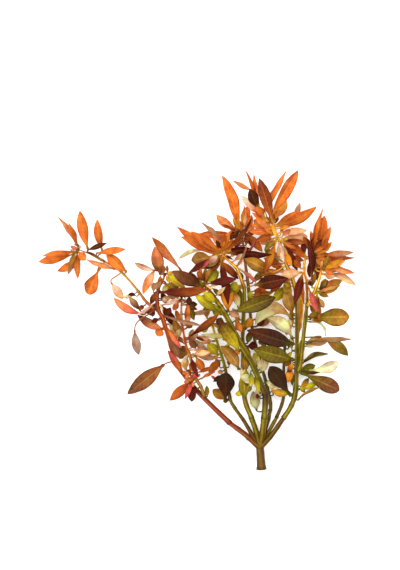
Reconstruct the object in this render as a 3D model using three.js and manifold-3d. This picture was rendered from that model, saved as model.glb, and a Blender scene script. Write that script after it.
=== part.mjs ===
import * as THREE from 'three';
import Module from 'manifold-3d';

// Ludwigia brevipes: one clump of branching, leafy shoots, cut at the bottom and laid on a table.
// X runs to the plant's right, Y towards the shoot tips, Z up from the table. Millimetres.

// Driving dimensions
const KEEL_DEPTH = 0.7;
const LEAF_EDGE = 0.25;
const STALK_WIDTH = 0.7;
const STALK_LENGTH = 1.4;
const WIDEST_LEAF = 7.5;
const LEAF_SLENDERNESS = 0.26;
const LEAF_ARCH = 0.1;
const LEAF_FOLD = 0.18;
const STEM_SIDES = 5;
const JOINT_GAP = 0.35;
const ROOT_SHARE = 0.75;
const CLEARANCE = 0.5;
const DEPTH_STEP = 1.5;
const DEPTH_TRIES = 30;

// Stations along a blade, each with the share of its full width there
const LONG_STATIONS = [[0, 0.2], [0.25, 0.76], [0.52, 1], [0.82, 0.62]];
const SHORT_STATIONS = [[0, 0.22], [0.36, 0.94], [0.73, 0.82]];
const TINY_STATIONS = [[0, 0.3], [0.5, 1]];
const BLUNT_STATIONS = [[0, 0.16], [0.3, 0.66], [0.64, 1], [0.91, 0.74]];
const TINY_LEAF = 12;
const LONG_LEAF = 26;

const COLOURS = {
  orange: 0xe9742a, salmon: 0xf08a5a, amber: 0xf08a1e, rust: 0xa8421a, maroon: 0x5a1c10, umber: 0x46201a,
  crimson: 0xe85a60, mauve: 0x8e6a5c, olive: 0x7a7a10, lime: 0xb4b010, bronze: 0xa87830, tan: 0xc09850,
  sage: 0xb8b888, cream: 0xeeecb0, redwood: 0x7a3010, bark: 0x5a4a08, green: 0x8a9a20, gold: 0xf0b040,
};

// Each axis is a stem or the core of a crown of young leaves. line holds the points of its middle,
// radii its radius at the bottom and the top. leaves holds what has grown as one with it, a row for
// each leaf: x and y of the blade's base, x and y of its tip, its width as seen from above, how far
// its tip rises over its root, how far its middle bows to the left of its straight line, and whether
// it is broad and blunt near its tip.
const AXES = {
  basal_stem: {
    colour: 'bark', radii: [2.6, 2.2], line: [[7, 0, 2.6], [6, 15, 4.1]], leaves: [],
    shoots: [
      { radii: [1.7, 1.5], line: [[6, 13, 4.1], [-2, 20.5, 4.6], [-12, 28, 5.6]] },
      { radii: [1.3, 1.1], line: [[6, 13, 4.1], [-4, 30, 3.6]] },
      { radii: [1.7, 1.5], line: [[6, 13, 4.1], [3.8, 23, 5.2], [1, 31, 7.1]] },
      { radii: [1.8, 1.75], line: [[6, 13, 4.1], [7.6, 23, 6.4], [8.5, 31, 9.6]] },
      { radii: [1.2, 1], line: [[6, 13, 4.1], [11.5, 31, 2.6]] },
      { radii: [1.2, 1], line: [[6, 13, 4.1], [16, 31, 1.1]] },
      { radii: [1.6, 1.35], line: [[6, 13, 4.1], [13.5, 21.5, 5.6], [20, 31, 7.1]] },
    ],
  },
  left_stem: {
    colour: 'redwood', radii: [1.5, 0.85],
    line: [[-12, 28, 5.6], [-28.4, 44, 8], [-40.3, 58, 10.6], [-45, 66, 12.6], [-48, 76.4, 15.1],
      [-52.2, 90.7, 18.1], [-54.3, 94.8, 19.1], [-55.6, 101.3, 20.6], [-54.9, 108.7, 21.6]],
    leaves: [
      [-50, 86, -55.5, 80.5, 5.5, 3], [-55, 97, -61.5, 93.5, 6.4, -5], [-55, 91, -59, 89, 3, 4],
      [-56, 100, -67, 93.5, 2, 8], [-54.5, 101, -52, 96, 1.5, 5], [-46, 91, -41.8, 80.5, 5, -6],
      [-54, 98.7, -42, 103, 2.5, 6], [-54, 98, -43, 85, 5.4, -10], [-52.6, 92.8, -29.4, 87, 2, 12, -1],
      [-54.4, 107, -50, 100, 4, -7], [-56.4, 106.3, -59.5, 99.5, 3.5, -6],
      [-55.5, 102, -47.5, 103.5, 3.5, -5], [-65.5, 95.8, -71.8, 103.8, 4.2, 12],
      [-42.8, 66, -40.8, 60.5, 3, -4],
    ],
  },
  far_left_branch: {
    colour: 'rust', radii: [0.8, 0.65],
    line: [[-57.2, 96.6, 20.2], [-62.5, 101.5, 19.6], [-67, 107.5, 18.6], [-75, 116.8, 16.1],
      [-80, 121, 14.6], [-87, 125, 12.6]],
    leaves: [
      [-68, 104.3, -72.8, 105, 2.4, 4, -0.8], [-76, 117, -86, 131, 6.6, -7, 1],
      [-80, 121, -97.5, 126, 3.5, 10], [-82.9, 112, -76.2, 102.6, 5.2, -8],
    ],
  },
  thin_left_stem: {
    colour: 'rust', radii: [0.95, 0.7],
    line: [[-27.2, 44.2, 11], [-29.6, 50.4, 12.2], [-32.8, 56, 13.6], [-36, 68.8, 16.6],
      [-38.4, 75.2, 18.1], [-41.2, 90, 21.6]],
    leaves: [
      [-35, 79.3, -25.5, 71, 4, -9], [-33, 80.2, -27.2, 78, 2, 3], [-31, 59, -22, 62.3, 2.5, 5],
      [-30, 50, -34, 47, 4, 5], [-25.5, 43.5, -26, 51, 3, 6], [-36.3, 69, -39.3, 60.5, 3.5, 7],
      [-35, 68.5, -31, 56, 3, 10], [-34, 70, -24, 71, 4, 4], [-34, 69, -20.5, 67, 4, -5],
      [-32.3, 68, -27.8, 59.5, 5, -6], [-40, 88, -44.5, 96, 3, -5], [-39.5, 84.5, -34.5, 88.5, 4, -5],
      [-38, 76, -43, 80, 3, -6], [-38, 79, -32.5, 73, 4, -3], [-40.8, 87, -37, 100, 3.5, 3],
    ],
  },
  short_left_stem: {
    colour: 'bark', radii: [1, 0.8],
    line: [[-4, 30, 3.6], [-9, 37, 4.1], [-12, 43, 4.6], [-14.5, 59, 5.6], [-17, 68.6, 6.6],
      [-21, 81, 7.6], [-23.5, 92, 8.6]],
    leaves: [
      [-19, 69.5, -25.5, 76, 7, 5], [-21, 78, -33, 80, 3, -4], [-16.5, 66, -25, 58.8, 5, 6],
      [-19.5, 53.5, -23.3, 56.7, 1.8, 4], [-14, 42, -22.4, 48, 6, -5],
    ],
  },
  middle_left_stem: {
    colour: 'olive', radii: [1.75, 1.4],
    line: [[8.5, 31, 9.6], [9.2, 44.2, 13.1], [7, 49.9, 15.1], [0.9, 64.7, 19.1], [-5.7, 75.9, 22.6],
      [-12.5, 88.8, 25.1], [-17.5, 98, 26.6]],
    leaves: [
      [6.5, 54.5, -6, 57.5, 5.2, 4], [8, 43.5, 4.2, 50, 4, 3], [10.5, 51.5, 18.5, 50.3, 5.5, 3],
      [-8.8, 89.5, -5.2, 83, 4.2, 3], [-18, 93, -6.5, 92.3, 4, 5], [3.2, 58, 8.2, 67.5, 6.2, 4],
      [-15.5, 94, -24.5, 100, 4.5, -6], [-12.5, 85, -23, 88, 3, -7], [-6.2, 77, -6.8, 69.5, 3.2, -4],
      [5.2, 47, 2.6, 56.5, 3.4, 2],
    ],
  },
  middle_stem: {
    colour: 'green', radii: [1.5, 0.9],
    line: [[1, 31, 7.1], [-3.2, 43, 8.6], [-4, 62, 10.6], [-4.5, 80, 13.1], [-3.5, 106, 17.6],
      [-5, 113, 19.1], [-8, 121, 20.6]],
    leaves: [
      [-2.8, 60, -3.4, 43.5, 6.8, 6], [-4, 74, 4.6, 74.8, 5.4, -5], [-3, 110, -6.5, 97, 5.5, -6],
      [-3, 111.5, -13, 109.5, 6, 4], [-7, 120.5, 3.5, 112.5, 2.5, 8], [-5.5, 97.5, -9.5, 106.5, 4.5, 4],
      [-4, 90, -10.5, 97, 3.5, -5], [-3.2, 75, -1.4, 61.5, 4, 2], [-4.5, 84.5, 1.5, 91, 4.5, -5],
    ],
  },
  middle_back_stem: {
    colour: 'bark', radii: [0.95, 0.8],
    line: [[11.5, 31, 2.6], [12, 43, 3.6], [3, 77, 5.6], [0.3, 93, 6.6], [-1, 110, 8.1],
      [-3, 125, 9.6]],
    leaves: [
      [4, 105.5, 11, 107, 3.5, 3], [4, 36, 2, 47, 6, -4], [10, 44, 17, 47, 4, 3, 1.5],
      [3.5, 86, 12.5, 90.5, 4.5, -3], [12.5, 46.5, 21, 44.5, 3.5, -2],
    ],
  },
  short_back_stem: {
    colour: 'olive', radii: [1, 0.8],
    line: [[16, 31, 1.1], [20.2, 43, 1.6], [20.4, 62, 2.6], [21, 75, 4.1]],
    leaves: [[21.5, 73, 25.5, 79.5, 4, 4]],
  },
  right_stem: {
    colour: 'bark', radii: [1.55, 0.9],
    line: [[20, 31, 7.1], [24.5, 38, 7.6], [27, 45, 7.6], [27.9, 57, 8.1], [28.1, 75.6, 10.1],
      [27.9, 98.7, 14.6], [26, 112, 17.1], [22, 122, 18.6], [18.9, 130.2, 20.1]],
    leaves: [
      [28, 48.8, 41, 52, 3.8, -6], [29, 42, 42, 49.5, 2.3, 4, 1.8], [30, 60, 39.5, 62.6, 4.8, -6],
      [30.8, 63, 47.5, 69.5, 3.2, -9, 2.2], [26.5, 88, 24, 95, 2.5, -4], [24.4, 63, 22.6, 52.5, 4.6, 5],
      [22, 111, 14, 101.5, 5.8, -6], [27, 115, 21, 108, 5, 4], [30.8, 80, 31.4, 105, 4.6, -8],
      [22, 117, 12, 106, 4.5, -9], [19.2, 121.7, 12, 125, 5, -9], [22, 126, 8.5, 132.5, 5, -8],
      [20, 124, 8, 127, 4.5, -4], [21.5, 119.8, 3.5, 117.5, 4.5, -4], [27, 71, 21.5, 66.5, 3, -3],
      [21.5, 128, 32, 125.5, 3.5, -5],
    ],
  },
  outer_right_stem: {
    colour: 'redwood', radii: [1.3, 0.75],
    line: [[28.6, 59.5, 11.8], [30.2, 65.1, 13], [32.2, 84, 18.1], [33.5, 96.6, 20.6],
      [33.8, 104, 21.6], [33.5, 113, 22.6], [32.3, 117.8, 23.6], [32, 123.2, 24.1]],
    leaves: [
      [32.8, 75.8, 43, 80.5, 3.8, -7], [35.5, 89.5, 45, 80.5, 1.3, 2, 3.2],
      [35.6, 109.5, 39.3, 95, 4, 9], [31, 121, 26, 126, 4.5, 4], [32, 74, 40, 76, 3.4, -8],
      [34, 99, 39, 93.5, 3, -6],
    ],
  },
  outer_right_branch: {
    colour: 'gold', radii: [0.9, 0.8],
    line: [[34.1, 98.5, 23.2], [36.7, 104, 24.2], [38.8, 108.6, 24.6], [41, 115, 25.6]],
    leaves: [
      [39.5, 105.5, 41, 97, 4, -9], [39, 109.5, 45, 114.8, 3.5, -5],
      [38.5, 107.5, 52.8, 111, 2.6, 6, -2], [39.5, 103.5, 44, 97.5, 4, -3],
    ],
  },
  far_left_crown: {
    colour: 'orange', radii: [0.65, 0.5],
    line: [[-87, 125, 12.6], [-92, 128, 11.6], [-103.5, 132.5, 10.1]],
    leaves: [
      [-103, 133.5, -115, 152.2, 3, 5], [-103.5, 133, -108.4, 148.3, 3, 12],
      [-97.5, 131.5, -102, 155.6, 6.5, 0, 0.4], [-88.8, 132.5, -92, 150.5, 5.2, -14, 0.6],
      [-97, 131.8, -85.5, 136, 3.2, 9], [-92, 128.8, -74.3, 132.3, 4.5, 7],
      [-104, 132, -124, 128.5, 4, 7], [-106, 129.5, -127, 125, 5.4, -3, 0.6],
      [-104, 131, -108, 122, 3, 10], [-101, 127, -116, 119.4, 5, -10, 0.8],
      [-103.5, 131, -103.4, 114.7, 4, -14], [-103, 130, -98.2, 125.8, 5, 8],
      [-105, 130, -109.3, 117.2, 2.5, -2],
    ],
  },
  left_crown: {
    colour: 'salmon', radii: [0.85, 0.6],
    line: [[-54.9, 108.7, 21.6], [-51.5, 115.5, 22.6], [-51.5, 118.5, 23.1]],
    leaves: [
      [-51.5, 117.5, -57, 134, 7.5, 0], [-56, 119.5, -69, 124.4, 3.6, 4, 0.8],
      [-57, 119.7, -63.9, 105.6, 5.2, 7, -0.4], [-53, 114, -58.5, 109.5, 4, 10, 1],
      [-51, 118, -38.5, 109, 5, 9], [-52, 113, -45, 101.5, 5, -12], [-52.5, 112.5, -42, 110, 4, 2],
    ],
  },
  thin_left_crown: {
    colour: 'mauve', radii: [0.8, 0.6], line: [[-41.2, 90, 21.6], [-41, 103.3, 24.1]],
    leaves: [
      [-39, 101.5, -34.6, 101.5, 5, 2], [-37, 100, -33.5, 90, 4, -4], [-38.5, 93.5, -23, 95.7, 2.8, -7],
      [-41, 102, -44, 108, 3, 4], [-41, 101, -46, 96, 3.5, 5], [-41.2, 119.5, -58.6, 139.4, 5, 4, -0.4],
      [-39.5, 99, -31.5, 99.5, 4, -5],
    ],
  },
  lower_left_crown: {
    colour: 'crimson', radii: [0.9, 0.6],
    line: [[-33.2, 54.6, 15.5], [-35.8, 57.5, 17.6], [-36, 61, 19.1]],
    leaves: [
      [-36, 53, -48, 42, 6, 4], [-35, 52.5, -39, 43, 3, 9], [-34.5, 52, -35, 41, 5, -6],
      [-36, 60, -40.5, 58.5, 2.5, 5], [-36, 59, -31.5, 56, 3.4, 6], [-36, 60, -38.5, 55.5, 2.5, 8],
    ],
  },
  middle_left_crown: {
    colour: 'bronze', radii: [1.3, 0.8],
    line: [[-17.5, 98, 26.6], [-24, 107, 28.6], [-28.5, 111.5, 29.6]],
    leaves: [
      [-28.5, 112, -18.5, 119, 6, -5], [-30.8, 113.6, -29.5, 121, 3, 3],
      [-26.5, 111.4, -8.5, 114.5, 5, 6], [-27.7, 111.3, -22.3, 108.4, 1.5, 5],
      [-21.5, 100.5, -28, 107, 5, 8], [-28.5, 112, -24, 121, 3, 4], [-27, 110.5, -34.5, 105.5, 3, -5],
      [-24, 107.5, -17, 104.5, 3, -3],
    ],
  },
  middle_crown: {
    colour: 'orange', radii: [0.9, 0.6],
    line: [[-8, 121, 20.6], [-14.5, 127, 22.6], [-18.5, 131.5, 23.6]],
    leaves: [
      [-17, 131, -43.8, 145.5, 5.5, 6, 0.6], [-17.5, 128.5, -41.5, 139.8, 5.5, 0, -0.8],
      [-17, 133, -35.3, 142.7, 6, 13], [-19, 133.5, -20.5, 137.5, 2.5, 5],
      [-15.5, 132, 0.8, 150.8, 3, 8, -1.5], [-15, 130.5, 1, 132.5, 4.5, -3],
      [-14.5, 130, 12.6, 129, 5, 5], [-14.5, 130, -10.5, 126, 1.5, 6], [-17, 125, -7, 114.5, 4.5, -5],
      [-22.5, 128.5, -29.5, 120, 2.2, 2], [-8, 122.5, 4.8, 139, 1, 9],
      [-6.5, 123.5, -2.4, 133.8, 1.3, 12], [-28, 132, -42.8, 126.8, 3, -16, -1.2],
      [-24, 127.5, -35.2, 125.8, 9, -25], [-18, 128, -26, 122, 5, -7], [-18, 124, -29, 121, 3, -11],
      [-17, 133.5, -12.5, 142.5, 4, 9], [-21, 127.5, -37, 118, 4, -5], [-17, 126, -25, 119.5, 5, -9],
    ],
  },
  middle_back_crown: {
    colour: 'rust', radii: [0.8, 0.6], line: [[-3, 125, 9.6], [-5, 144, 13.6]],
    leaves: [
      [-5, 144.5, -17, 176.2, 6.8, 12, -1.6], [-8.5, 144.5, -20.2, 153, 5.4, 4, 1],
      [-6.8, 144.2, -12.5, 138, 4, 4], [-8, 140.5, -30, 142, 5, -13], [-1, 141, 7.5, 131, 5, -5],
      [-16, 136.5, -29.3, 148.6, 3, 2], [-6, 142, -17, 147.3, 2, 6], [-6, 136, -9.5, 134, 3, 4],
      [-4.5, 147, -1, 158.5, 5.5, 3], [-3.5, 134.5, -1, 142.5, 4, -3],
    ],
  },
  right_crown: {
    colour: 'amber', radii: [0.85, 0.6],
    line: [[18.9, 130.2, 20.1], [17.2, 137.3, 21.1], [12.5, 149, 22.6]],
    leaves: [
      [7, 154, 21.3, 179.3, 4.3, 2, -0.8], [12, 152, 28.2, 179.2, 7, 7],
      [14.5, 149.5, 21.5, 163.3, 7.5, -24], [15.5, 146, 39.4, 157.7, 6.4, 4, -1.5],
      [15, 146.5, 30, 155.5, 4.5, -12], [26.5, 150, 30.3, 160.5, 3.5, -23],
      [18.5, 138, 34.5, 140, 5.5, -5, 0.6], [19, 136.8, 33.5, 136.3, 4, 4],
      [2.5, 166.5, -10.6, 173.3, 2.5, -4], [4, 160, -2.8, 179, 2.5, 5], [5, 158, 2, 177.3, 3, 1],
      [12.5, 148, 5, 174.2, 7, 13], [4.2, 156.3, -0.5, 167.8, 6.5, 11], [8, 152, 3.5, 157.5, 5, 2],
      [14.5, 143.5, 3, 154.5, 3, 2], [13, 143.5, 2, 149.8, 6.5, -6], [13.5, 143.2, -0.8, 142.7, 4, 8],
      [13.5, 141, 3, 137, 4.6, 7], [18.5, 137.5, 34, 127, 5.6, -4], [18.5, 137, 28, 119.5, 4.6, 5],
      [19.5, 133, 24.5, 122.3, 3.8, 8], [18.2, 137, 19.8, 124.5, 3, 10], [17.5, 137.5, 8, 118, 5.2, 6],
      [15.5, 139.5, 6, 135.5, 4, 1], [13.3, 145.5, 0.5, 147, 3.8, 3], [6.5, 152.5, -6, 164.5, 4.5, -2],
      [17, 141.8, 34, 143.6, 4.5, -2],
    ],
  },
  outer_right_crown: {
    colour: 'orange', radii: [0.75, 0.55],
    line: [[32, 123.2, 24.1], [33, 127, 24.6], [38.5, 130, 25.1]],
    leaves: [
      [37.5, 132, 42.7, 156.3, 3.5, 6], [40.5, 132, 44, 152.3, 6.5, 0], [42, 131, 47.5, 145.8, 4, 5],
      [42.5, 130, 45.3, 139, 4, 9], [43, 130, 48.1, 136.6, 3, 4], [38.5, 127, 38.3, 143, 4, -27],
      [38, 128.5, 62.2, 127.1, 3.5, -5], [42, 128.5, 61.3, 130.4, 3.8, 4],
      [39.5, 129, 47.5, 124.5, 3, 3], [37, 129.5, 31.8, 139.8, 4.5, -6], [39, 127.5, 40.5, 112.5, 4, -4],
    ],
  },
  outer_right_branch_crown: {
    colour: 'amber', radii: [0.8, 0.6], line: [[41, 115, 25.6], [42.5, 122, 26.6]],
    leaves: [
      [45, 122.5, 61.7, 118, 4, 5], [41, 122.5, 56, 125.5, 4.5, 8], [43, 117.5, 63, 110.8, 4, -4, 1.5],
      [42.5, 121, 49, 117, 3.5, 6],
    ],
  },
};

// Grown leaves that are pieces of their own: where each sits, its colour and a row as above
const SINGLE_LEAVES = {
  drooping_coral_leaf: ['far_left_branch', 'crimson', [-64, 93.5, -81.4, 103.5, 5, 4, 1.6]],
  far_left_spoon_leaf: ['far_left_branch', 'orange', [-90.3, 121, -97.7, 105.5, 8.5, -16, 0, true]],
  left_cross_leaf: ['left_stem', 'maroon', [-53.5, 107, -24.8, 108.6, 6, 15, -0.6]],
  left_shadow_leaf: ['middle_left_crown', 'umber', [-31, 112, -46.5, 119.3, 7.5, 9]],
  hanging_mauve_leaf: ['far_left_branch', 'mauve', [-69.1, 83.5, -66.8, 69, 5.5, -18, -0.4]],
  low_rust_leaf: ['left_stem', 'rust', [-52, 63, -73.8, 45.2, 9, -15]],
  left_salmon_leaf: ['left_stem', 'salmon', [-51.5, 84.5, -67.6, 93, 5.5, -12, 0.8]],
  left_mauve_leaf: ['left_stem', 'mauve', [-49.5, 84, -42, 67, 5, 7]],
  left_olive_leaf: ['left_stem', 'olive', [-47, 70.5, -37.5, 69.8, 8, -10]],
  left_crimson_leaf: ['left_stem', 'crimson', [-49, 86, -41, 73.5, 3.5, 12]],
  left_orange_leaf: ['left_stem', 'orange', [-40.8, 59.5, -49.3, 72, 4.4, 6, -0.5]],
  thin_stem_leaf: ['thin_left_stem', 'maroon', [-37, 79.8, -19, 93.5, 4.5, 8]],
  low_purple_leaf: ['short_left_stem', 'umber', [-14.8, 41.2, -14.4, 58.8, 11, 10, 0, true]],
  middle_olive_leaf: ['middle_left_stem', 'olive', [-5, 73.5, -19.5, 91, 7.5, 9]],
  middle_pale_leaf: ['middle_left_stem', 'lime', [-11.5, 80.5, -29.5, 81.6, 3.5, -3]],
  middle_tan_leaf: ['middle_stem', 'bronze', [-5, 61, -17.8, 74.5, 7.5, 4, -1.5]],
  middle_front_leaf: ['middle_crown', 'maroon', [-17.5, 126.5, -13.3, 99, 5.2, 12]],
  middle_green_leaf: ['middle_left_stem', 'green', [-19.5, 95, -33, 105.5, 5.5, 6]],
  middle_amber_leaf: ['middle_left_stem', 'amber', [-14, 95, -14, 112, 8, -6]],
  centre_olive_leaf: ['middle_left_stem', 'olive', [-10, 94.8, 15, 103.8, 9.2, 4]],
  centre_bronze_leaf: ['right_stem', 'bronze', [12, 119, -3.5, 126.5, 8, 9]],
  centre_dark_leaf: ['middle_stem', 'umber', [3, 111, 22.3, 115, 8.5, 15]],
  right_peach_leaf: ['outer_right_stem', 'cream', [30, 118.5, 18, 117, 6, 5]],
  right_front_leaf: ['outer_right_stem', 'maroon', [30, 118, 25.7, 99.3, 5, 11]],
  right_red_leaf: ['outer_right_branch', 'rust', [38.5, 106, 40.8, 89.5, 3, 5]],
  right_orange_leaf: ['outer_right_branch', 'orange', [40.5, 109, 55, 113.8, 5, -9]],
  long_dark_leaf: ['right_stem', 'umber', [26.5, 76, -2.3, 84.2, 10, 22]],
  long_olive_leaf: ['right_stem', 'olive', [26, 66.5, 1.5, 73, 10.5, 20]],
  right_cream_leaf: ['right_stem', 'cream', [26, 79.5, 10.3, 91, 7.8, 4, -2.5]],
  bowed_beige_leaf: ['right_stem', 'tan', [26, 91, 3, 87.5, 9, 6, -8]],
  right_tan_leaf: ['right_stem', 'bronze', [26.2, 94, 21, 108, 7.5, 5]],
  low_dark_leaf: ['right_stem', 'umber', [25.5, 44.5, 11.5, 62.5, 10, 14, 0, true]],
  spoon_leaf: ['outer_right_stem', 'olive', [35.5, 92, 58.9, 92, 11, 5, 0, true]],
  edge_on_leaf: ['outer_right_stem', 'mauve', [36, 77, 60, 78.6, 3.8, 6, 1.5]],
  stalked_leaf: ['outer_right_stem', 'olive', [45.5, 78.3, 59, 68.5, 6.5, -12, 0.9]],
  low_cream_leaf: ['right_stem', 'cream', [35, 60.2, 52.8, 65, 6.8, 5, -1.7, true]],
  low_brown_leaf: ['right_stem', 'bronze', [31, 58.3, 54, 47.5, 9.4, -10, 0, true]],
  bowed_maroon_leaf: ['outer_right_stem', 'maroon', [36.4, 114.5, 33.2, 138.5, 4.6, 13, -0.7]],
};

const wasm = await Module();
wasm.setup();

const UP = new THREE.Vector3(0, 0, 1);

// One solid from rings of points, closed at its foot and ending in a flat face or a point
function skin(rings, point) {
  const sides = rings[0].length;
  const vertices = rings.flat();
  const faces = [];
  for (let r = 0; r + 1 < rings.length; r += 1) {
    for (let s = 0; s < sides; s += 1) {
      const a = r * sides + s;
      const b = r * sides + (s + 1) % sides;
      faces.push(a, b, b + sides, a, b + sides, a + sides);
    }
  }
  const last = (rings.length - 1) * sides;
  for (let s = 2; s < sides; s += 1) {
    faces.push(0, s, s - 1);
    if (!point) {
      faces.push(last, last + s - 1, last + s);
    }
  }
  if (point) {
    vertices.push(point);
    for (let s = 0; s < sides; s += 1) {
      faces.push(last + s, last + (s + 1) % sides, vertices.length - 1);
    }
  }
  const vertProperties = new Float32Array(vertices.flatMap((v) => [v.x, v.y, v.z]));
  const triVerts = new Uint32Array(faces);
  const solid = new wasm.Manifold(new wasm.Mesh({ numProp: 3, vertProperties, triVerts }));
  return { solid, box: new THREE.Box3().setFromPoints(vertices) };
}

// Left and upward directions across a line that runs along the tangent
function frameAt(tangent, roll) {
  const left = new THREE.Vector3().crossVectors(UP, tangent).normalize();
  const up = new THREE.Vector3().crossVectors(tangent, left).normalize();
  left.applyAxisAngle(tangent, roll);
  up.applyAxisAngle(tangent, roll);
  return { left, up };
}

function vectors(line) {
  return line.map(([x, y, z]) => new THREE.Vector3(x, y, z));
}

// A tapered stem of flat sides along its middle line
function stem(line, [foot, top]) {
  const points = vectors(line);
  const rings = points.map((point, i) => {
    const before = points[Math.max(i - 1, 0)];
    const after = points[Math.min(i + 1, points.length - 1)];
    const { left, up } = frameAt(after.clone().sub(before).normalize(), 0);
    const radius = foot + (top - foot) * i / (points.length - 1);
    return Array.from({ length: STEM_SIDES }, (_, s) => {
      const turn = 2 * Math.PI * s / STEM_SIDES;
      return point.clone()
        .addScaledVector(left, radius * Math.cos(turn))
        .addScaledVector(up, radius * Math.sin(turn));
    });
  });
  return skin(rings);
}

// The place on an axis nearest to x, y as seen from above, with the radius there
function nearestOn(axis, x, y) {
  const points = vectors(axis.line);
  let best = null;
  for (let i = 0; i + 1 < points.length; i += 1) {
    const run = points[i + 1].clone().sub(points[i]);
    const ahead = ((x - points[i].x) * run.x + (y - points[i].y) * run.y) / (run.x ** 2 + run.y ** 2);
    const share = THREE.MathUtils.clamp(ahead, 0, 1);
    const place = points[i].clone().addScaledVector(run, share);
    const far = Math.hypot(place.x - x, place.y - y);
    if (!best || far < best.far) {
      const radius = axis.radii[0] + (axis.radii[1] - axis.radii[0]) * (i + share) / (points.length - 1);
      best = { place, far, radius, along: run.normalize() };
    }
  }
  return best;
}

// The middle line of a leaf, from its root on the axis along its stalk to the tip of its blade
function leafLine(axis, row, lift, single) {
  const [baseX, baseY, tipX, tipY, , , bow = 0] = row;
  const { place, far, radius, along } = nearestOn(axis, baseX, baseY);
  const length = Math.hypot(tipX - baseX, tipY - baseY);
  const tip = new THREE.Vector3(tipX, tipY, Math.max(place.z + lift, 0));
  const base = new THREE.Vector3(baseX, baseY, place.z + (tip.z - place.z) * far / (far + length));
  const shortest = radius + JOINT_GAP + STALK_LENGTH;
  const away = (far > shortest ? base : tip).clone().sub(place);
  away.addScaledVector(along, -away.dot(along)).normalize();
  const root = place.clone().addScaledVector(away, single ? radius + JOINT_GAP : radius * ROOT_SHARE);
  const start = far > shortest ? base : place.clone().addScaledVector(away, shortest);
  const stalked = single || far > shortest;
  const sideways = new THREE.Vector3(-(tipY - baseY), tipX - baseX, 0).normalize();
  const middle = start.clone().add(tip).multiplyScalar(0.5).addScaledVector(sideways, 2 * bow);
  middle.z += 2 * LEAF_ARCH * length;
  return { root, length, stalked, blade: new THREE.QuadraticBezierCurve3(start, middle, tip) };
}

function stationsFor(length, blunt) {
  if (blunt) {
    return BLUNT_STATIONS;
  }
  if (length > LONG_LEAF) {
    return LONG_STATIONS;
  }
  return length > TINY_LEAF ? SHORT_STATIONS : TINY_STATIONS;
}

// A keeled blade of three-cornered rings that ends in a point and rests on the table where it meets it.
// With room it is a blade that much larger, for finding what is in the leaf's way.
function leaf(axis, row, lift, { single = false, room = 0, outerOnly = false } = {}) {
  const { root, length, stalked, blade } = leafLine(axis, row, lift, single);
  const seen = row[4];
  const width = Math.max(seen, Math.min(LEAF_SLENDERNESS * length, WIDEST_LEAF));
  const roll = Math.acos(seen / width) * (Math.round(row[0] + row[3]) % 2 ? 1 : -1);
  const stations = stationsFor(length, row[7]);
  const ring = (point, tangent, halfWidth) => {
    const { left, up } = frameAt(tangent, roll);
    const middle = point.clone();
    middle.z = Math.max(middle.z, KEEL_DEPTH);
    const fold = LEAF_FOLD * halfWidth;
    const edge = (side) => {
      const corner = middle.clone()
        .addScaledVector(left, side * (halfWidth + room))
        .addScaledVector(up, fold);
      corner.z = Math.max(corner.z, LEAF_EDGE);
      return corner;
    };
    const keel = middle.clone().addScaledVector(up, -KEEL_DEPTH - room);
    const ridge = room ? [middle.clone().addScaledVector(up, fold + room)] : [];
    return [edge(1), ...ridge, edge(-1), keel];
  };
  const rings = stations.slice(stalked ? 0 : 1).map(([t, share]) => {
    return ring(blade.getPoint(t), blade.getTangent(t), width / 2 * share);
  });
  const foot = blade.v0.clone().sub(root).normalize().add(blade.getTangent(0)).normalize();
  rings.unshift(ring(root, foot, STALK_WIDTH / 2));
  return skin(outerOnly ? rings.slice(stalked ? 2 : 1) : rings, blade.v2.clone());
}

// What stands where so far, each with the name of its node
const placed = [];

function touches(piece, skipped) {
  return placed.some((other) => other.node !== skipped
    && other.box.intersectsBox(piece.box)
    && !other.solid.intersect(piece.solid).isEmpty());
}

// Swings a leaf about its root, a little more each time, until nothing is in its way. A leaf that has
// grown as one with its node may meet it at the root only.
function settle(axis, row, node, single) {
  for (let i = 0; i <= DEPTH_TRIES; i += 1) {
    const swing = DEPTH_STEP * Math.ceil(i / 2) * (i % 2 ? 1 : -1);
    const piece = leaf(axis, row, row[5] + swing, { single });
    const outer = leaf(axis, row, row[5] + swing, { single, room: CLEARANCE, outerOnly: true });
    if (!touches(piece, single ? '' : node) && !touches(outer, '')) {
      placed.push({ ...piece, node });
      return piece;
    }
  }
  throw new Error(`no room for a leaf of ${node} at ${row}`);
}

// The joined solid of all parts, with the small hollows shut in between crossing leaves filled
function joined(parts) {
  const [first, ...others] = parts;
  const shells = others.reduce((whole, part) => whole.add(part.solid), first.solid).decompose();
  return shells.reduce((largest, shell) => (shell.volume() > largest.volume() ? shell : largest));
}

function mesh(name, solid, colour) {
  const { vertProperties, triVerts } = solid.getMesh();
  const geometry = new THREE.BufferGeometry();
  geometry.setAttribute('position', new THREE.BufferAttribute(vertProperties, 3));
  geometry.setIndex(new THREE.BufferAttribute(triVerts, 1));
  const material = new THREE.MeshStandardMaterial({ color: COLOURS[colour], roughness: 0.55, metalness: 0 });
  const piece = new THREE.Mesh(geometry, material);
  piece.name = name;
  return piece;
}

// A crown's core starts just above the end of the stem below it
function clearedLine(line) {
  const [first, second] = vectors(line);
  const start = first.addScaledVector(second.clone().sub(first).normalize(), JOINT_GAP);
  return [start.toArray(), ...line.slice(1)];
}

const axes = Object.entries(AXES).map(([name, axis]) => {
  return { name, ...axis, line: name === 'basal_stem' ? axis.line : clearedLine(axis.line) };
});
for (const axis of axes) {
  axis.parts = [axis, ...(axis.shoots ?? [])].map(({ line, radii }) => stem(line, radii));
  axis.parts.forEach((part) => placed.push({ ...part, node: axis.name }));
}
const singles = Object.entries(SINGLE_LEAVES).map(([name, [host, colour, row]]) => {
  const axis = axes.find((each) => each.name === host);
  return { name, colour, solid: settle(axis, row, name, true).solid };
});
for (const axis of axes) {
  for (const row of axis.leaves) {
    axis.parts.push(settle(axis, row, axis.name, false));
  }
}

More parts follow.
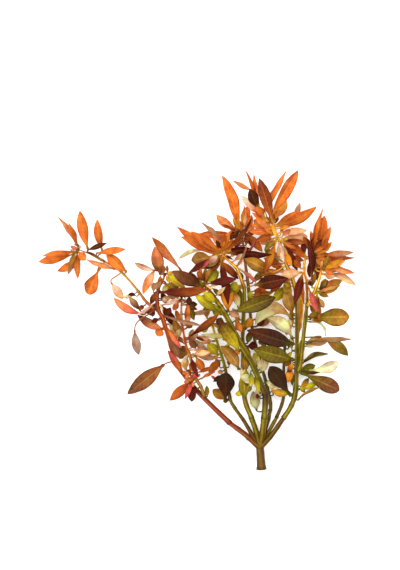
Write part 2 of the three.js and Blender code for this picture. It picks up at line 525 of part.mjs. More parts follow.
const plant = new THREE.Group();
for (const { name, colour, parts } of axes) {
  plant.add(mesh(name, joined(parts), colour));
}
for (const { name, colour, solid } of singles) {
  plant.add(mesh(name, solid, colour));
}

// The origin is the middle of the bottom of the whole plant's box
const box = new THREE.Box3().setFromObject(plant);
const middle = box.getCenter(new THREE.Vector3());
plant.position.set(-middle.x, -middle.y, -box.min.z);
plant.updateMatrixWorld(true);

export default plant;
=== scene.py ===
"""A clump of Ludwigia brevipes as picked: branching stems, crowns of young leaves and grown leaves."""

import math
import random
from typing import NamedTuple, Sequence

import bpy
from bpy.props import FloatProperty, FloatVectorProperty, IntProperty, PointerProperty
from mathutils import Matrix, Vector, noise


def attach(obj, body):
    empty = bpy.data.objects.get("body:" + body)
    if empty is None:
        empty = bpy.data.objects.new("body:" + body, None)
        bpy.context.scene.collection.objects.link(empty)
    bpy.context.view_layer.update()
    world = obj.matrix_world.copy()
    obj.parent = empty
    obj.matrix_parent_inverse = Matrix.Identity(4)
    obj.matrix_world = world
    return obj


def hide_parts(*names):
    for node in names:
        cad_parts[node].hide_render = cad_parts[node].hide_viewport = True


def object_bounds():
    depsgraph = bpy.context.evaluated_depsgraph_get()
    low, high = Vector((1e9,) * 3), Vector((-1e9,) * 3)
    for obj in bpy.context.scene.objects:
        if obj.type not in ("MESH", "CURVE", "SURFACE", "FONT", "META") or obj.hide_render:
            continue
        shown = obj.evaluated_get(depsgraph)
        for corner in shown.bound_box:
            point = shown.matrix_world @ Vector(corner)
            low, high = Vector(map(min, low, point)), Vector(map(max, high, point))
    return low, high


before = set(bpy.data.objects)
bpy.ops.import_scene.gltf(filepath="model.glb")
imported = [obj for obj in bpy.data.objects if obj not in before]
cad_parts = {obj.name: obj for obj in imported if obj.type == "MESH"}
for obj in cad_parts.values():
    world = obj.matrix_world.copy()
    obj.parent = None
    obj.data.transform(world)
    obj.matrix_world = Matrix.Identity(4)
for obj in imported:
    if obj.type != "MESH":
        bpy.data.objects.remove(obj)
CAD_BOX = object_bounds()

bl_info = {
    "name": "Ludwigia Clump",
    "version": (1, 0, 0),
    "blender": (4, 5, 0),
    "location": "View3D > Sidebar > Plant",
    "description": "Builds a clump of Ludwigia brevipes over its solid model",
    "category": "Object",
}

# Lengths in the tables are millimetres, on the plant's drawing, which has its cut end at y 0.
MM = 0.001
UP = Vector((0, 0, 1))

# The tips that are the furthest to the right and to the top of the drawing
RIGHTMOST_TIP = 63
TOPMOST_TIP = 179.3
DRAWING_SHIFT = Vector((CAD_BOX[1][0] - RIGHTMOST_TIP * MM, CAD_BOX[1][1] - TOPMOST_TIP * MM, 0))

# The middle of the photograph and its height, on the same drawing, and the height of the plant's middle
PHOTO_MIDDLE = (-30, 111)
PHOTO_HEIGHT = 342
PLANT_MIDDLE_HEIGHT = 8

# The table's width, and each light's place, aim and width, in metres, with the setting for its power
TABLE_WIDTH = 6
LIGHTS = {
    "softbox": ((-0.15, 0.35, 1.0), (0, 0, 0), 0.9, "softbox"),
    "left_fill": ((-1.0, -0.1, 0.45), (0, 0, 0.02), 0.7, "fill"),
    "right_fill": ((1.0, -0.1, 0.45), (0, 0, 0.02), 0.7, "fill"),
}

# Which of a piece's two finishes its faces have
STEM_SKIN = 0
LEAF_TISSUE = 1

# A stalk: how deep in its stem it starts, as a share of the radius, how far the blade stays from the
# stem at the least, in two parts, how fast it turns from one direction to the other, the length of
# its steps and their least number, how thick it is for half its width, from how many steps on it
# has no wings, and where the materials take it to be along a blade
ROOT_DEPTH = 0.5
JOINT_GAP = 0.35
STALK_LENGTH = 1.4
STALK_BEND = 0.4
STALK_STEP = 0.8
FEWEST_STALK_STEPS = 3
STALK_THICKNESS = 1.6
LONG_STALK = 9
STALK_MARK = -0.05

# A blade: the widest that foreshortening can hide, as a width and as a share of its length, how high
# it arches for its length, and the length from which on it has all steps
WIDEST_LEAF = 7.5
LEAF_SLENDERNESS = 0.26
LEAF_ARCH = 0.1
LONG_LEAF = 8

# A blade's outline: its width at the base, how full it is past its widest place, where that place is
# on a blunt blade, where the tip's curve ends, and half its width at the least
BASE_WIDTH = 0.26
POINTED_FULLNESS = 0.8
BLUNT_FULLNESS = 0.66
BLUNT_WIDEST = 0.66
TIP_END = 0.997
THINNEST_HALF = 0.12
BLUNT_LEAVES = {
    "spoon_leaf", "low_brown_leaf", "far_left_spoon_leaf", "low_purple_leaf", "low_dark_leaf", "low_cream_leaf",
}

# Across a blade: the number of points, the widths of the groove over the midrib and of the rib under
# it, the rib's depth, how much thinner the edge is, how much thicker the base is, and how high above
# the table its upper side stays
POINTS_ACROSS = 9
GROOVE_WIDTH = 0.16
RIB_WIDTH = 0.13
RIB_DEPTH = 0.12
EDGE_THINNING = 0.65
BASE_THICKENING = 0.35
LOWEST_TOP = 0.16

# The ranges that each leaf draws its own measures from
TWISTS = (-0.35, 0.35)
FOLDS = (0.5, 1.6)
WAVES = (1.2, 2.6)
WAVE_HEIGHTS = (0.4, 1.5)
TONES = (0.94, 1.18)
PALENESSES = (0.1, 1)
WIDEST_PLACES = (0.46, 0.58)

# Along a blade: where its twist is 0, how soon the tip's colour starts and how fast it rises, and how
# the stem's colour at its base and the shade over one of its halves ease off
TWIST_PIVOT = 0.4
TIP_COLOUR_START = 0.3
TIP_COLOUR_RISE = 1.6
FLUSH_EASE = 0.6
PAINTED_SHADE_EASE = 0.5

# A closed bud: its leaves, the ranges of how far one is turned, stands up, leans out, is wide and is
# bowed, how deep and how far out it starts, how high its tip is at the least, the length of core that
# it grows from, and how much of the core's radius is left there
BUD_LEAVES = 4
BUD_TURNS = (-0.2, 0.2)
BUD_RISES = (3.2, 5.2)
BUD_LEANS = (1.2, 2.4)
BUD_WIDTHS = (1.5, 2.1)
BUD_BOWS = (-0.3, 0.3)
BUD_DEPTH = 0.8
BUD_SPREAD = 0.3
LOWEST_BUD_TIP = 0.3
BUD_CORE = 2
BUD_RADIUS = 0.45

# A stem: its sides and ridges, the length over which the ridges' wave moves on by one radian, the half
# lengths of knots at a leaf and between leaves, how large the second are and how far before one its
# swelling starts, how much darker a knot is, how uneven the skin is and how closely, and the length
# of one of its marks
RING_SIDES = 20
STEM_RIDGES = 4
RIDGE_WINDING = 15
LEAF_KNOT = 1.1
BARE_KNOT = 0.9
BARE_KNOT_SIZE = 0.8
KNOT_REACH = 3
KNOT_DARKNESS = 0.35
UNEVENNESS = 0.05
UNEVEN_CLOSENESS = 0.35
MARK_LENGTH = 40

# The cut end's rings: share of its radius, how deep each is sunk, its colour
CUT_RINGS = [(0.1, 0.35, "cream"), (0.7, 0.25, "cream"), (0.8, 0.05, "green"), (1.0, 0.0, "bark"), (1.0, 0.6, "bark")]

# Veins: from where to where the midrib, a side vein and its end fade, how a side vein curves and
# slants, how far it wanders and over what length in metres, how strong it is beside the midrib, and
# how far it is sunk
MIDRIB_EDGE = (0.02, 0.12)
VEIN_EDGE = (0.03, 0.16)
VEIN_END = (0.55, 0.95)
VEIN_CURVE = 0.8
VEIN_SLANT = 0.11
VEIN_WANDER = 0.05
VEIN_WAVE = 0.003
SIDE_VEIN_SHARE = 0.4
VEIN_RELIEF = -0.5

# The finishes: spans are the parts of a noise, or of a ridge, over which something fades in, and spots
# are in metres. Mottling, streak shading and a ridge's painted highlight and groove's painted shade are
# the lowest and highest that red, green and blue are multiplied by. Streaks are finer round a stem
# than along it. The four colours are what tissue is mixed with, and the shares are how strongly.
NOISE_SPAN = (0.3, 0.7)
LEAF_SPOT = 0.0045
LEAF_GRAIN = 0.0008
STEM_FLECK = 0.0012
STEM_PATCH = 0.009
TABLE_GRAIN = 0.02
TABLE_SHADING = (0.985, 1.0)
LEAF_MOTTLING = ((0.82, 1.12), (0.62, 1.28), (0.6, 1.2))
# A stem's ridges are painted lighter, as a highlight, and its grooves darker, as shade, on top of the stem's own pale
# stripes.
RIDGE_HIGHLIGHT_AND_GROOVE_SHADE = ((0.6, 1.35), (0.5, 1.4), (0.45, 1.2))
STREAK_STRETCH = (9, 5, 1)
STREAKS = {"Scale": 2.2, "Detail": 4}
STREAK_SHADING = (0.78, 1.2)
RIDGE_SPAN = (0.2, 0.9)
PATCH_SPAN = (0.42, 0.68)
FLECK_SPAN = (0.58, 0.7)
FLECK_RELIEF = 0.3
EDGE_SPAN = (0.72, 1.0)
RED_EDGE = (0.85, 0.42, 0.3, 1)
RED_EDGE_SHARE = 0.55
GRAIN_SHARE = 0.35
GLOW_SHARE = 0.6
STAIN_SHARE = 0.6
VEIN_LIGHT = (0.1, 0.07, 0.012, 1)
RED_PATCH = (0.95, 0.6, 0.4, 1)
BROWN_FLECK = (0.5, 0.32, 0.2, 1)
GRAIN_RELIEF = 0.35
GLOSS_SPREAD = (-0.06, 0.08)
SHINE = 0.12

# Colours as a screen shows them, and the ones whose veins are always pale. A stem's colours are named
# from its bottom to its top and a leaf's from its base to its tip, with hyphens between.
SCREEN_GAMMA = 2.2
GREEN_TISSUE = ("olive", "green", "lime")
COLOURS = {
    "orange": (0.86, 0.47, 0.18), "salmon": (0.87, 0.55, 0.34), "amber": (0.88, 0.555, 0.14),
    "rust": (0.68, 0.34, 0.11), "russet": (0.61, 0.37, 0.18), "cocoa": (0.49, 0.30, 0.18),
    "maroon": (0.38, 0.11, 0.01), "garnet": (0.35, 0.095, 0.01), "umber": (0.33, 0.155, 0.05),
    "sable": (0.24, 0.15, 0.06), "crimson": (0.80, 0.35, 0.31), "pink": (0.93, 0.77, 0.68),
    "peach": (0.94, 0.72, 0.52), "mauve": (0.72, 0.53, 0.38), "olive": (0.45, 0.38, 0.05),
    "lime": (0.78, 0.705, 0.12), "bronze": (0.66, 0.465, 0.16), "tan": (0.78, 0.58, 0.30),
    "sage": (0.83, 0.79, 0.57), "cream": (0.87, 0.83, 0.60), "redwood": (0.48, 0.22, 0.12),
    "dust": (0.66, 0.53, 0.46), "ivory": (0.86, 0.86, 0.72), "bark": (0.33, 0.24, 0.05),
    "green": (0.42, 0.39, 0.05), "gold": (0.92, 0.70, 0.28), "straw": (0.94, 0.73, 0.24),
}


class Axis(NamedTuple):
    """A stem or the core of a crown, from its bottom to its top, with the leaves grown as one with it."""

    radii: tuple
    colours: str
    line: Sequence
    leaves: Sequence = ()


class Leaf(NamedTuple):
    """A leaf as seen from above: its blade's ends and width, its colours there, and its middle's bow."""

    base_x: float
    base_y: float
    tip_x: float
    tip_y: float
    width: float
    colours: str
    bow: float = 0


BASAL_STEM = Axis((2.6, 2.2), "bark-bark", [(7, 0, 2.6), (6, 15, 4.1)])
BASAL_SHOOTS = [
    Axis((1.7, 1.5), "bark-redwood", [(6, 13, 4.1), (-2, 20.5, 4.6), (-12, 28, 5.6)]),
    Axis((1.3, 1.1), "bark-bark", [(6, 13, 4.1), (-4, 30, 3.6)]),
    Axis((1.7, 1.5), "bark-green", [(6, 13, 4.1), (3.8, 23, 5.2), (1, 31, 7.1)]),
    Axis((1.8, 1.75), "bark-olive", [(6, 13, 4.1), (7.6, 23, 6.4), (8.5, 31, 9.6)]),
    Axis((1.2, 1.0), "bark-bark", [(6, 13, 4.1), (11.5, 31, 2.6)]),
    Axis((1.2, 1.0), "bark-olive", [(6, 13, 4.1), (16, 31, 1.1)]),
    Axis((1.6, 1.35), "bark-bark", [(6, 13, 4.1), (13.5, 21.5, 5.6), (20, 31, 7.1)]),
]

STEMS = {
    "left_stem": Axis((1.5, 0.85), "redwood-redwood-rust-redwood", [
        (-12, 28, 5.6), (-28.4, 44, 8), (-40.3, 58, 10.6), (-45, 66, 12.6), (-48, 76.4, 15.1), (-52.2, 90.7, 18.1),
        (-54.3, 94.8, 19.1), (-55.6, 101.3, 20.6), (-54.9, 108.7, 21.6),
    ], [
        (-50, 86, -55.5, 80.5, 5.5, "orange"), (-55, 97, -61.5, 93.5, 6.4, "maroon"), (-55, 91, -59, 89, 3, "maroon"),
        (-56, 100, -67, 93.5, 2, "pink"), (-54.5, 101, -52, 96, 1.5, "cream"),
        (-46, 91, -41.8, 80.5, 5, "bronze-amber"), (-54, 98.7, -42, 103, 2.5, "pink"),
        (-54, 98, -43, 85, 5.4, "maroon"), (-52.6, 92.8, -29.4, 87, 2, "mauve", -1),
        (-54.4, 107, -50, 100, 4, "maroon-umber"), (-56.4, 106.3, -59.5, 99.5, 3.5, "rust-maroon"),
        (-55.5, 102, -47.5, 103.5, 3.5, "peach"), (-65.5, 95.8, -71.8, 103.8, 4.2, "umber-mauve"),
        (-42.8, 66, -40.8, 60.5, 3, "tan"), (-51, 86.6, -42.4, 80.4, 3.8, "cream-amber", 0.4),
        (-54.9, 97.2, -60.6, 93.8, 4.6, "maroon-garnet"), (-54.9, 109, -53.6, 116.6, 3, "rust-orange"),
        (-54.8, 106.4, -57.6, 112.6, 3, "tan-mauve"), (-54.8, 106.5, -48.6, 111, 3.6, "cream-lime", 0.3),
        (-52.5, 91.6, -47.6, 97.6, 4, "umber-maroon"), (-47.6, 75, -43.2, 68.6, 3.6, "maroon-umber"),
        (-55.5, 103, -49.2, 101.4, 2.6, "cream-peach"), (-52.4, 91.4, -58.2, 90.4, 2.6, "maroon"),
        (-54.2, 95, -58.2, 99.6, 3.2, "maroon-umber"),
    ]),
    "far_left_branch": Axis((0.8, 0.65), "russet-bronze-bronze", [
        (-57.2, 96.6, 20.2), (-62.5, 101.5, 19.6), (-67, 107.5, 18.6), (-75, 116.8, 16.1), (-80, 121, 14.6),
        (-87, 125, 12.6),
    ], [
        (-68, 104.3, -72.8, 105, 2.4, "umber", -0.8), (-76, 117, -86, 131, 6.6, "orange", 1),
        (-80, 121, -97.5, 126, 3.5, "salmon"), (-82.9, 112, -76.2, 102.6, 5.2, "pink-peach"),
        (-61.5, 100.5, -66.6, 96.6, 3, "maroon-rust"), (-67, 107.5, -76.4, 103.4, 2.4, "peach-cream", 0.4),
    ]),
    "thin_left_stem": Axis((0.95, 0.7), "olive-bronze-tan-rust-rust", [
        (-27.2, 44.2, 11), (-29.6, 50.4, 12.2), (-32.8, 56, 13.6), (-36, 68.8, 16.6), (-38.4, 75.2, 18.1),
        (-41.2, 90, 21.6),
    ], [
        (-35, 79.3, -25.5, 71, 4, "mauve"), (-33, 80.2, -27.2, 78, 2, "umber"), (-31, 59, -22, 62.3, 2.5, "rust"),
        (-30, 50, -34, 47, 4, "maroon"), (-25.5, 43.5, -26, 51, 3, "bronze-olive"),
        (-36.3, 69, -39.3, 60.5, 3.5, "tan"), (-35, 68.5, -31, 56, 3, "maroon"), (-34, 70, -24, 71, 4, "peach"),
        (-34, 69, -20.5, 67, 4, "mauve"), (-32.3, 68, -27.8, 59.5, 5, "orange"),
        (-40, 88, -44.5, 96, 3, "orange-rust"), (-39.5, 84.5, -34.5, 88.5, 4, "russet"),
        (-38, 76, -43, 80, 3, "russet"), (-38, 79, -32.5, 73, 4, "cocoa"), (-40.8, 87, -37, 100, 3.5, "rust-orange"),
        (-39, 78, -34, 84.6, 3, "tan-mauve"), (-38.7, 77, -31, 82.2, 2.8, "cocoa-mauve"),
        (-36.6, 70, -41, 61.6, 3, "sage-tan"), (-32.6, 55.6, -39.5, 55.2, 2.8, "orange-salmon"),
        (-31.4, 53.8, -36, 50.2, 2.6, "peach-orange"), (-40.2, 85, -44.2, 78.8, 3.4, "cream-amber"),
        (-40.6, 87, -36, 93.8, 2.8, "salmon"), (-37, 71.2, -26.5, 73.6, 2.6, "salmon-mauve", -0.4),
        (-31, 54.6, -20.8, 59.4, 2, "orange-rust"), (-37.4, 72.4, -31.2, 76, 2.4, "amber-rust"),
    ]),
    "short_left_stem": Axis((1, 0.8), "bark-green-lime", [
        (-4, 30, 3.6), (-9, 37, 4.1), (-12, 43, 4.6), (-14.5, 59, 5.6), (-17, 68.6, 6.6), (-21, 81, 7.6),
        (-23.5, 92, 8.6),
    ], [
        (-19, 69.5, -25.5, 76, 7, "lime"), (-21, 78, -33, 80, 3, "peach"), (-16.5, 66, -25, 58.8, 5, "rust"),
        (-19.5, 53.5, -23.3, 56.7, 1.8, "crimson"), (-14, 42, -22.4, 48, 6, "bronze"),
        (-15.2, 62, -20.6, 66.8, 3.4, "bronze"), (-20.6, 80, -17.4, 90, 4.4, "bronze-lime", -0.4),
        (-23.4, 91.5, -26.8, 98.6, 4.4, "tan-bronze"), (-17.5, 70, -12.6, 76, 3.6, "sage-lime"),
        (-14.5, 60, -19.5, 58.4, 3, "salmon-peach"), (-22.3, 86.5, -28.5, 82.6, 2.6, "sage-lime"),
        (-14.2, 57.5, -22, 53, 3, "umber"), (-14.9, 61.4, -12.6, 67.6, 2.6, "bronze-olive"),
        (-20, 77.6, -30, 76.6, 2.4, "salmon-peach"), (-16.8, 68, -22.6, 68.2, 2.2, "amber"),
    ]),
    "middle_left_stem": Axis((1.75, 1.4), "green-sable-green-olive-green-olive", [
        (8.5, 31, 9.6), (9.2, 44.2, 13.1), (7, 49.9, 15.1), (0.9, 64.7, 19.1), (-5.7, 75.9, 22.6),
        (-12.5, 88.8, 25.1), (-17.5, 98, 26.6),
    ], [
        (6.5, 54.5, -6, 57.5, 5.2, "sage"), (8, 43.5, 4.2, 50, 4, "sage"), (10.5, 51.5, 18.5, 50.3, 5.5, "sage"),
        (-8.8, 89.5, -5.2, 83, 4.2, "rust-orange"), (-18, 93, -6.5, 92.3, 4, "mauve"),
        (3.2, 58, 8.2, 67.5, 6.2, "sage"), (-15.5, 94, -24.5, 100, 4.5, "lime"), (-12.5, 85, -23, 88, 3, "bronze"),
        (-6.2, 77, -6.8, 69.5, 3.2, "amber"), (5.2, 47, 2.6, 56.5, 3.4, "lime-olive"),
        (6.4, 51.6, 16.8, 50.4, 5.6, "sage", 0.5), (3, 59.6, 9.8, 67.6, 5, "sage-cream", -0.4),
        (2, 62, 4.2, 69.8, 2.8, "sage-lime"), (-1.4, 69, -3.2, 59.6, 4.4, "bronze-olive", 0.3),
        (-8, 80, -17, 78.6, 2.4, "amber-lime"), (-12.6, 89.2, -20.2, 90.6, 5, "green-umber", 0.3),
        (8.5, 46, 3.2, 44.6, 3, "maroon"), (-10, 84, -2.8, 88, 3, "green-olive"),
        (-15.5, 94.5, -22.5, 95.8, 4, "lime-olive"), (0, 66, -5.8, 57.2, 3, "tan-sage"),
        (2.6, 60.6, 1.2, 50.4, 3.2, "green-lime"), (-11, 86.5, -17.8, 82, 2.8, "lime-amber"),
        (5.2, 54, -6.2, 57.6, 4.6, "sage", 0.4),
    ]),
    "middle_stem": Axis((1.5, 0.9), "green-olive-green-olive-green-bronze-gold", [
        (1, 31, 7.1), (-3.2, 43, 8.6), (-4, 62, 10.6), (-4.5, 80, 13.1), (-3.5, 106, 17.6), (-5, 113, 19.1),
        (-8, 121, 20.6),
    ], [
        (-2.8, 60, -3.4, 43.5, 6.8, "lime-olive"), (-4, 74, 4.6, 74.8, 5.4, "maroon"),
        (-3, 110, -6.5, 97, 5.5, "olive"), (-3, 111.5, -13, 109.5, 6, "lime-olive"),
        (-7, 120.5, 3.5, 112.5, 2.5, "mauve-crimson"), (-5.5, 97.5, -9.5, 106.5, 4.5, "sage-tan"),
        (-4, 90, -10.5, 97, 3.5, "sage"), (-3.2, 75, -1.4, 61.5, 4, "bronze-olive"),
        (-4.5, 84.5, 1.5, 91, 4.5, "amber"), (-4.2, 109.4, -14, 108.8, 5.6, "lime-olive", 0.4),
        (-3.7, 104, -6.8, 96.2, 3.8, "green-olive"), (-4, 62, -2.2, 50, 4.4, "lime-olive", 0.2),
        (-4, 66, -1.5, 74, 3.4, "bronze-olive"), (-3.6, 101, 0.6, 107.8, 3.4, "green-lime"),
        (-4.5, 85, -0.5, 91.5, 3, "amber-lime"), (-4.4, 88, -8.8, 93.8, 3, "amber-orange"),
        (-3.6, 48, -7, 44.2, 4, "lime"), (-4.4, 76, 0.4, 83.6, 4, "green-umber"),
        (-3.4, 47, 0.8, 50.6, 2.8, "lime-olive"),
    ]),
    "middle_back_stem": Axis((0.95, 0.8), "bark-green-russet", [
        (11.5, 31, 2.6), (12, 43, 3.6), (3, 77, 5.6), (0.3, 93, 6.6), (-1, 110, 8.1), (-3, 125, 9.6),
    ], [
        (4, 105.5, 11, 107, 3.5, "amber"), (4, 36, 2, 47, 6, "sage"), (10, 44, 17, 47, 4, "lime", 1.5),
        (3.5, 86, 12.5, 90.5, 4.5, "mauve-tan"), (12.5, 46.5, 21, 44.5, 3.5, "cream"),
        (-1, 112, 8.6, 118.8, 4, "bronze-olive", 0.4), (-1.2, 114, -6.6, 119, 2.8, "maroon"),
        (0.8, 90, 9.6, 96.2, 5.6, "tan-mauve"), (1.5, 86, 8.8, 90, 3.4, "maroon-umber"),
        (-0.4, 102, 6.8, 108.6, 4.2, "orange-rust"), (9.3, 53, 14.5, 57.2, 3.4, "sage-cream"),
        (4, 73, 9.8, 75.6, 3, "bronze-olive"), (6.5, 63.5, 2.5, 70.5, 3.2, "sage-lime"),
        (3, 78, 7.8, 75.2, 3.4, "olive-green"), (-0.8, 107, 10.6, 109.4, 3.2, "rust-orange"),
        (-0.6, 104, 14.4, 107.2, 3.2, "orange-bronze"),
    ]),
    "short_back_stem": Axis((1, 0.8), "bark-green", [
        (16, 31, 1.1), (20.2, 43, 1.6), (20.4, 62, 2.6), (21, 75, 4.1),
    ], [
        (21.5, 73, 25.5, 79.5, 4, "olive"),
    ]),
    "right_stem": Axis((1.55, 0.9), "green-green-green-olive-straw-gold", [
        (20, 31, 7.1), (24.5, 38, 7.6), (27, 45, 7.6), (27.9, 57, 8.1), (28.1, 75.6, 10.1), (27.9, 98.7, 14.6),
        (26, 112, 17.1), (22, 122, 18.6), (18.9, 130.2, 20.1),
    ], [
        (28, 48.8, 41, 52, 3.8, "lime"), (29, 42, 42, 49.5, 2.3, "bronze", 1.8), (30, 60, 39.5, 62.6, 4.8, "olive"),
        (30.8, 63, 47.5, 69.5, 3.2, "umber-olive", 2.2), (26.5, 88, 24, 95, 2.5, "amber"),
        (24.4, 63, 22.6, 52.5, 4.6, "amber"), (22, 111, 14, 101.5, 5.8, "olive-lime"),
        (27, 115, 21, 108, 5, "bronze"), (30.8, 80, 31.4, 105, 4.6, "straw-gold"), (22, 117, 12, 106, 4.5, "rust"),
        (19.2, 121.7, 12, 125, 5, "orange"), (22, 126, 8.5, 132.5, 5, "sage-olive"),
        (20, 124, 8, 127, 4.5, "rust-orange"), (21.5, 119.8, 3.5, 117.5, 4.5, "orange-bronze"),
        (27, 71, 21.5, 66.5, 3, "lime"), (21.5, 128, 32, 125.5, 3.5, "rust"),
        (27.3, 104.5, 20.6, 112.2, 5.2, "bronze-lime", 0.4), (26.2, 110.5, 20, 117.4, 4.6, "amber-bronze"),
        (28, 92.5, 21.8, 80.8, 4.4, "sage-tan", -0.5), (26.8, 45.6, 12.4, 48.2, 4.4, "lime-amber", 0.5),
        (28.1, 64.5, 22.5, 58.6, 3.6, "amber-umber"), (28, 97.5, 31.3, 106.5, 2.8, "lime-amber"),
        (28, 86, 23.6, 91.8, 3, "amber-lime"), (28.1, 72, 24.3, 79, 3.2, "lime-sage"),
        (23.5, 119.5, 15.2, 121.6, 3.6, "amber-rust"), (22, 122, 29.6, 124.6, 3.4, "sage-olive"),
        (19.6, 128.5, 11.6, 124.6, 3.4, "orange-rust"), (28, 59, 43, 58.5, 2.8, "olive-umber"),
        (27.8, 48.5, 35.4, 55, 3.4, "amber-olive"), (28.1, 66, 20.6, 62.6, 3.6, "olive-bronze"),
        (27.9, 60.5, 25.4, 50.4, 2.8, "olive"), (27.4, 50.5, 32.8, 46.6, 3, "lime-olive"),
        (28.3, 80, 30.9, 98.8, 2, "straw-gold"), (28.2, 60, 30.3, 78, 1.8, "straw-lime"),
    ]),
    "outer_right_stem": Axis((1.3, 0.75), "green-olive-green-olive-bronze-amber-gold", [
        (28.6, 59.5, 11.8), (30.2, 65.1, 13), (32.2, 84, 18.1), (33.5, 96.6, 20.6), (33.8, 104, 21.6),
        (33.5, 113, 22.6), (32.3, 117.8, 23.6), (32, 123.2, 24.1),
    ], [
        (32.8, 75.8, 43, 80.5, 3.8, "mauve"), (35.5, 89.5, 45, 80.5, 1.3, "sage", 3.2),
        (35.6, 109.5, 39.3, 95, 4, "crimson"), (31, 121, 26, 126, 4.5, "rust"), (32, 74, 40, 76, 3.4, "cream"),
        (34, 99, 39, 93.5, 3, "olive-bronze"), (33.4, 112, 32, 99.6, 2, "amber-rust"),
        (33.2, 93, 41.5, 94.9, 3.4, "bronze-olive"), (33, 90.6, 43, 89.4, 2.4, "bronze"),
        (32, 76, 45.6, 76.6, 2.4, "tan-mauve"), (30.4, 66.2, 38.6, 70.6, 2, "olive"),
    ]),
    "outer_right_branch": Axis((0.9, 0.8), "amber-lime-gold", [
        (34.1, 98.5, 23.2), (36.7, 104, 24.2), (38.8, 108.6, 24.6), (41, 115, 25.6),
    ], [
        (39.5, 105.5, 41, 97, 4, "tan"), (39, 109.5, 45, 114.8, 3.5, "bronze"),
        (38.5, 107.5, 52.8, 111, 2.6, "bronze", -2), (39.5, 103.5, 44, 97.5, 4, "tan"),
        (38.5, 108, 46.3, 113.8, 3.8, "umber-olive", 0.5), (39, 109.2, 34.8, 113.5, 2.8, "umber"),
        (38.8, 108.6, 52.5, 111, 2.4, "salmon-tan", -0.7), (38.3, 109, 38.7, 118.6, 2.8, "umber-bronze"),
        (38.4, 107, 46.4, 104.2, 2.8, "olive-bronze"),
    ]),
}
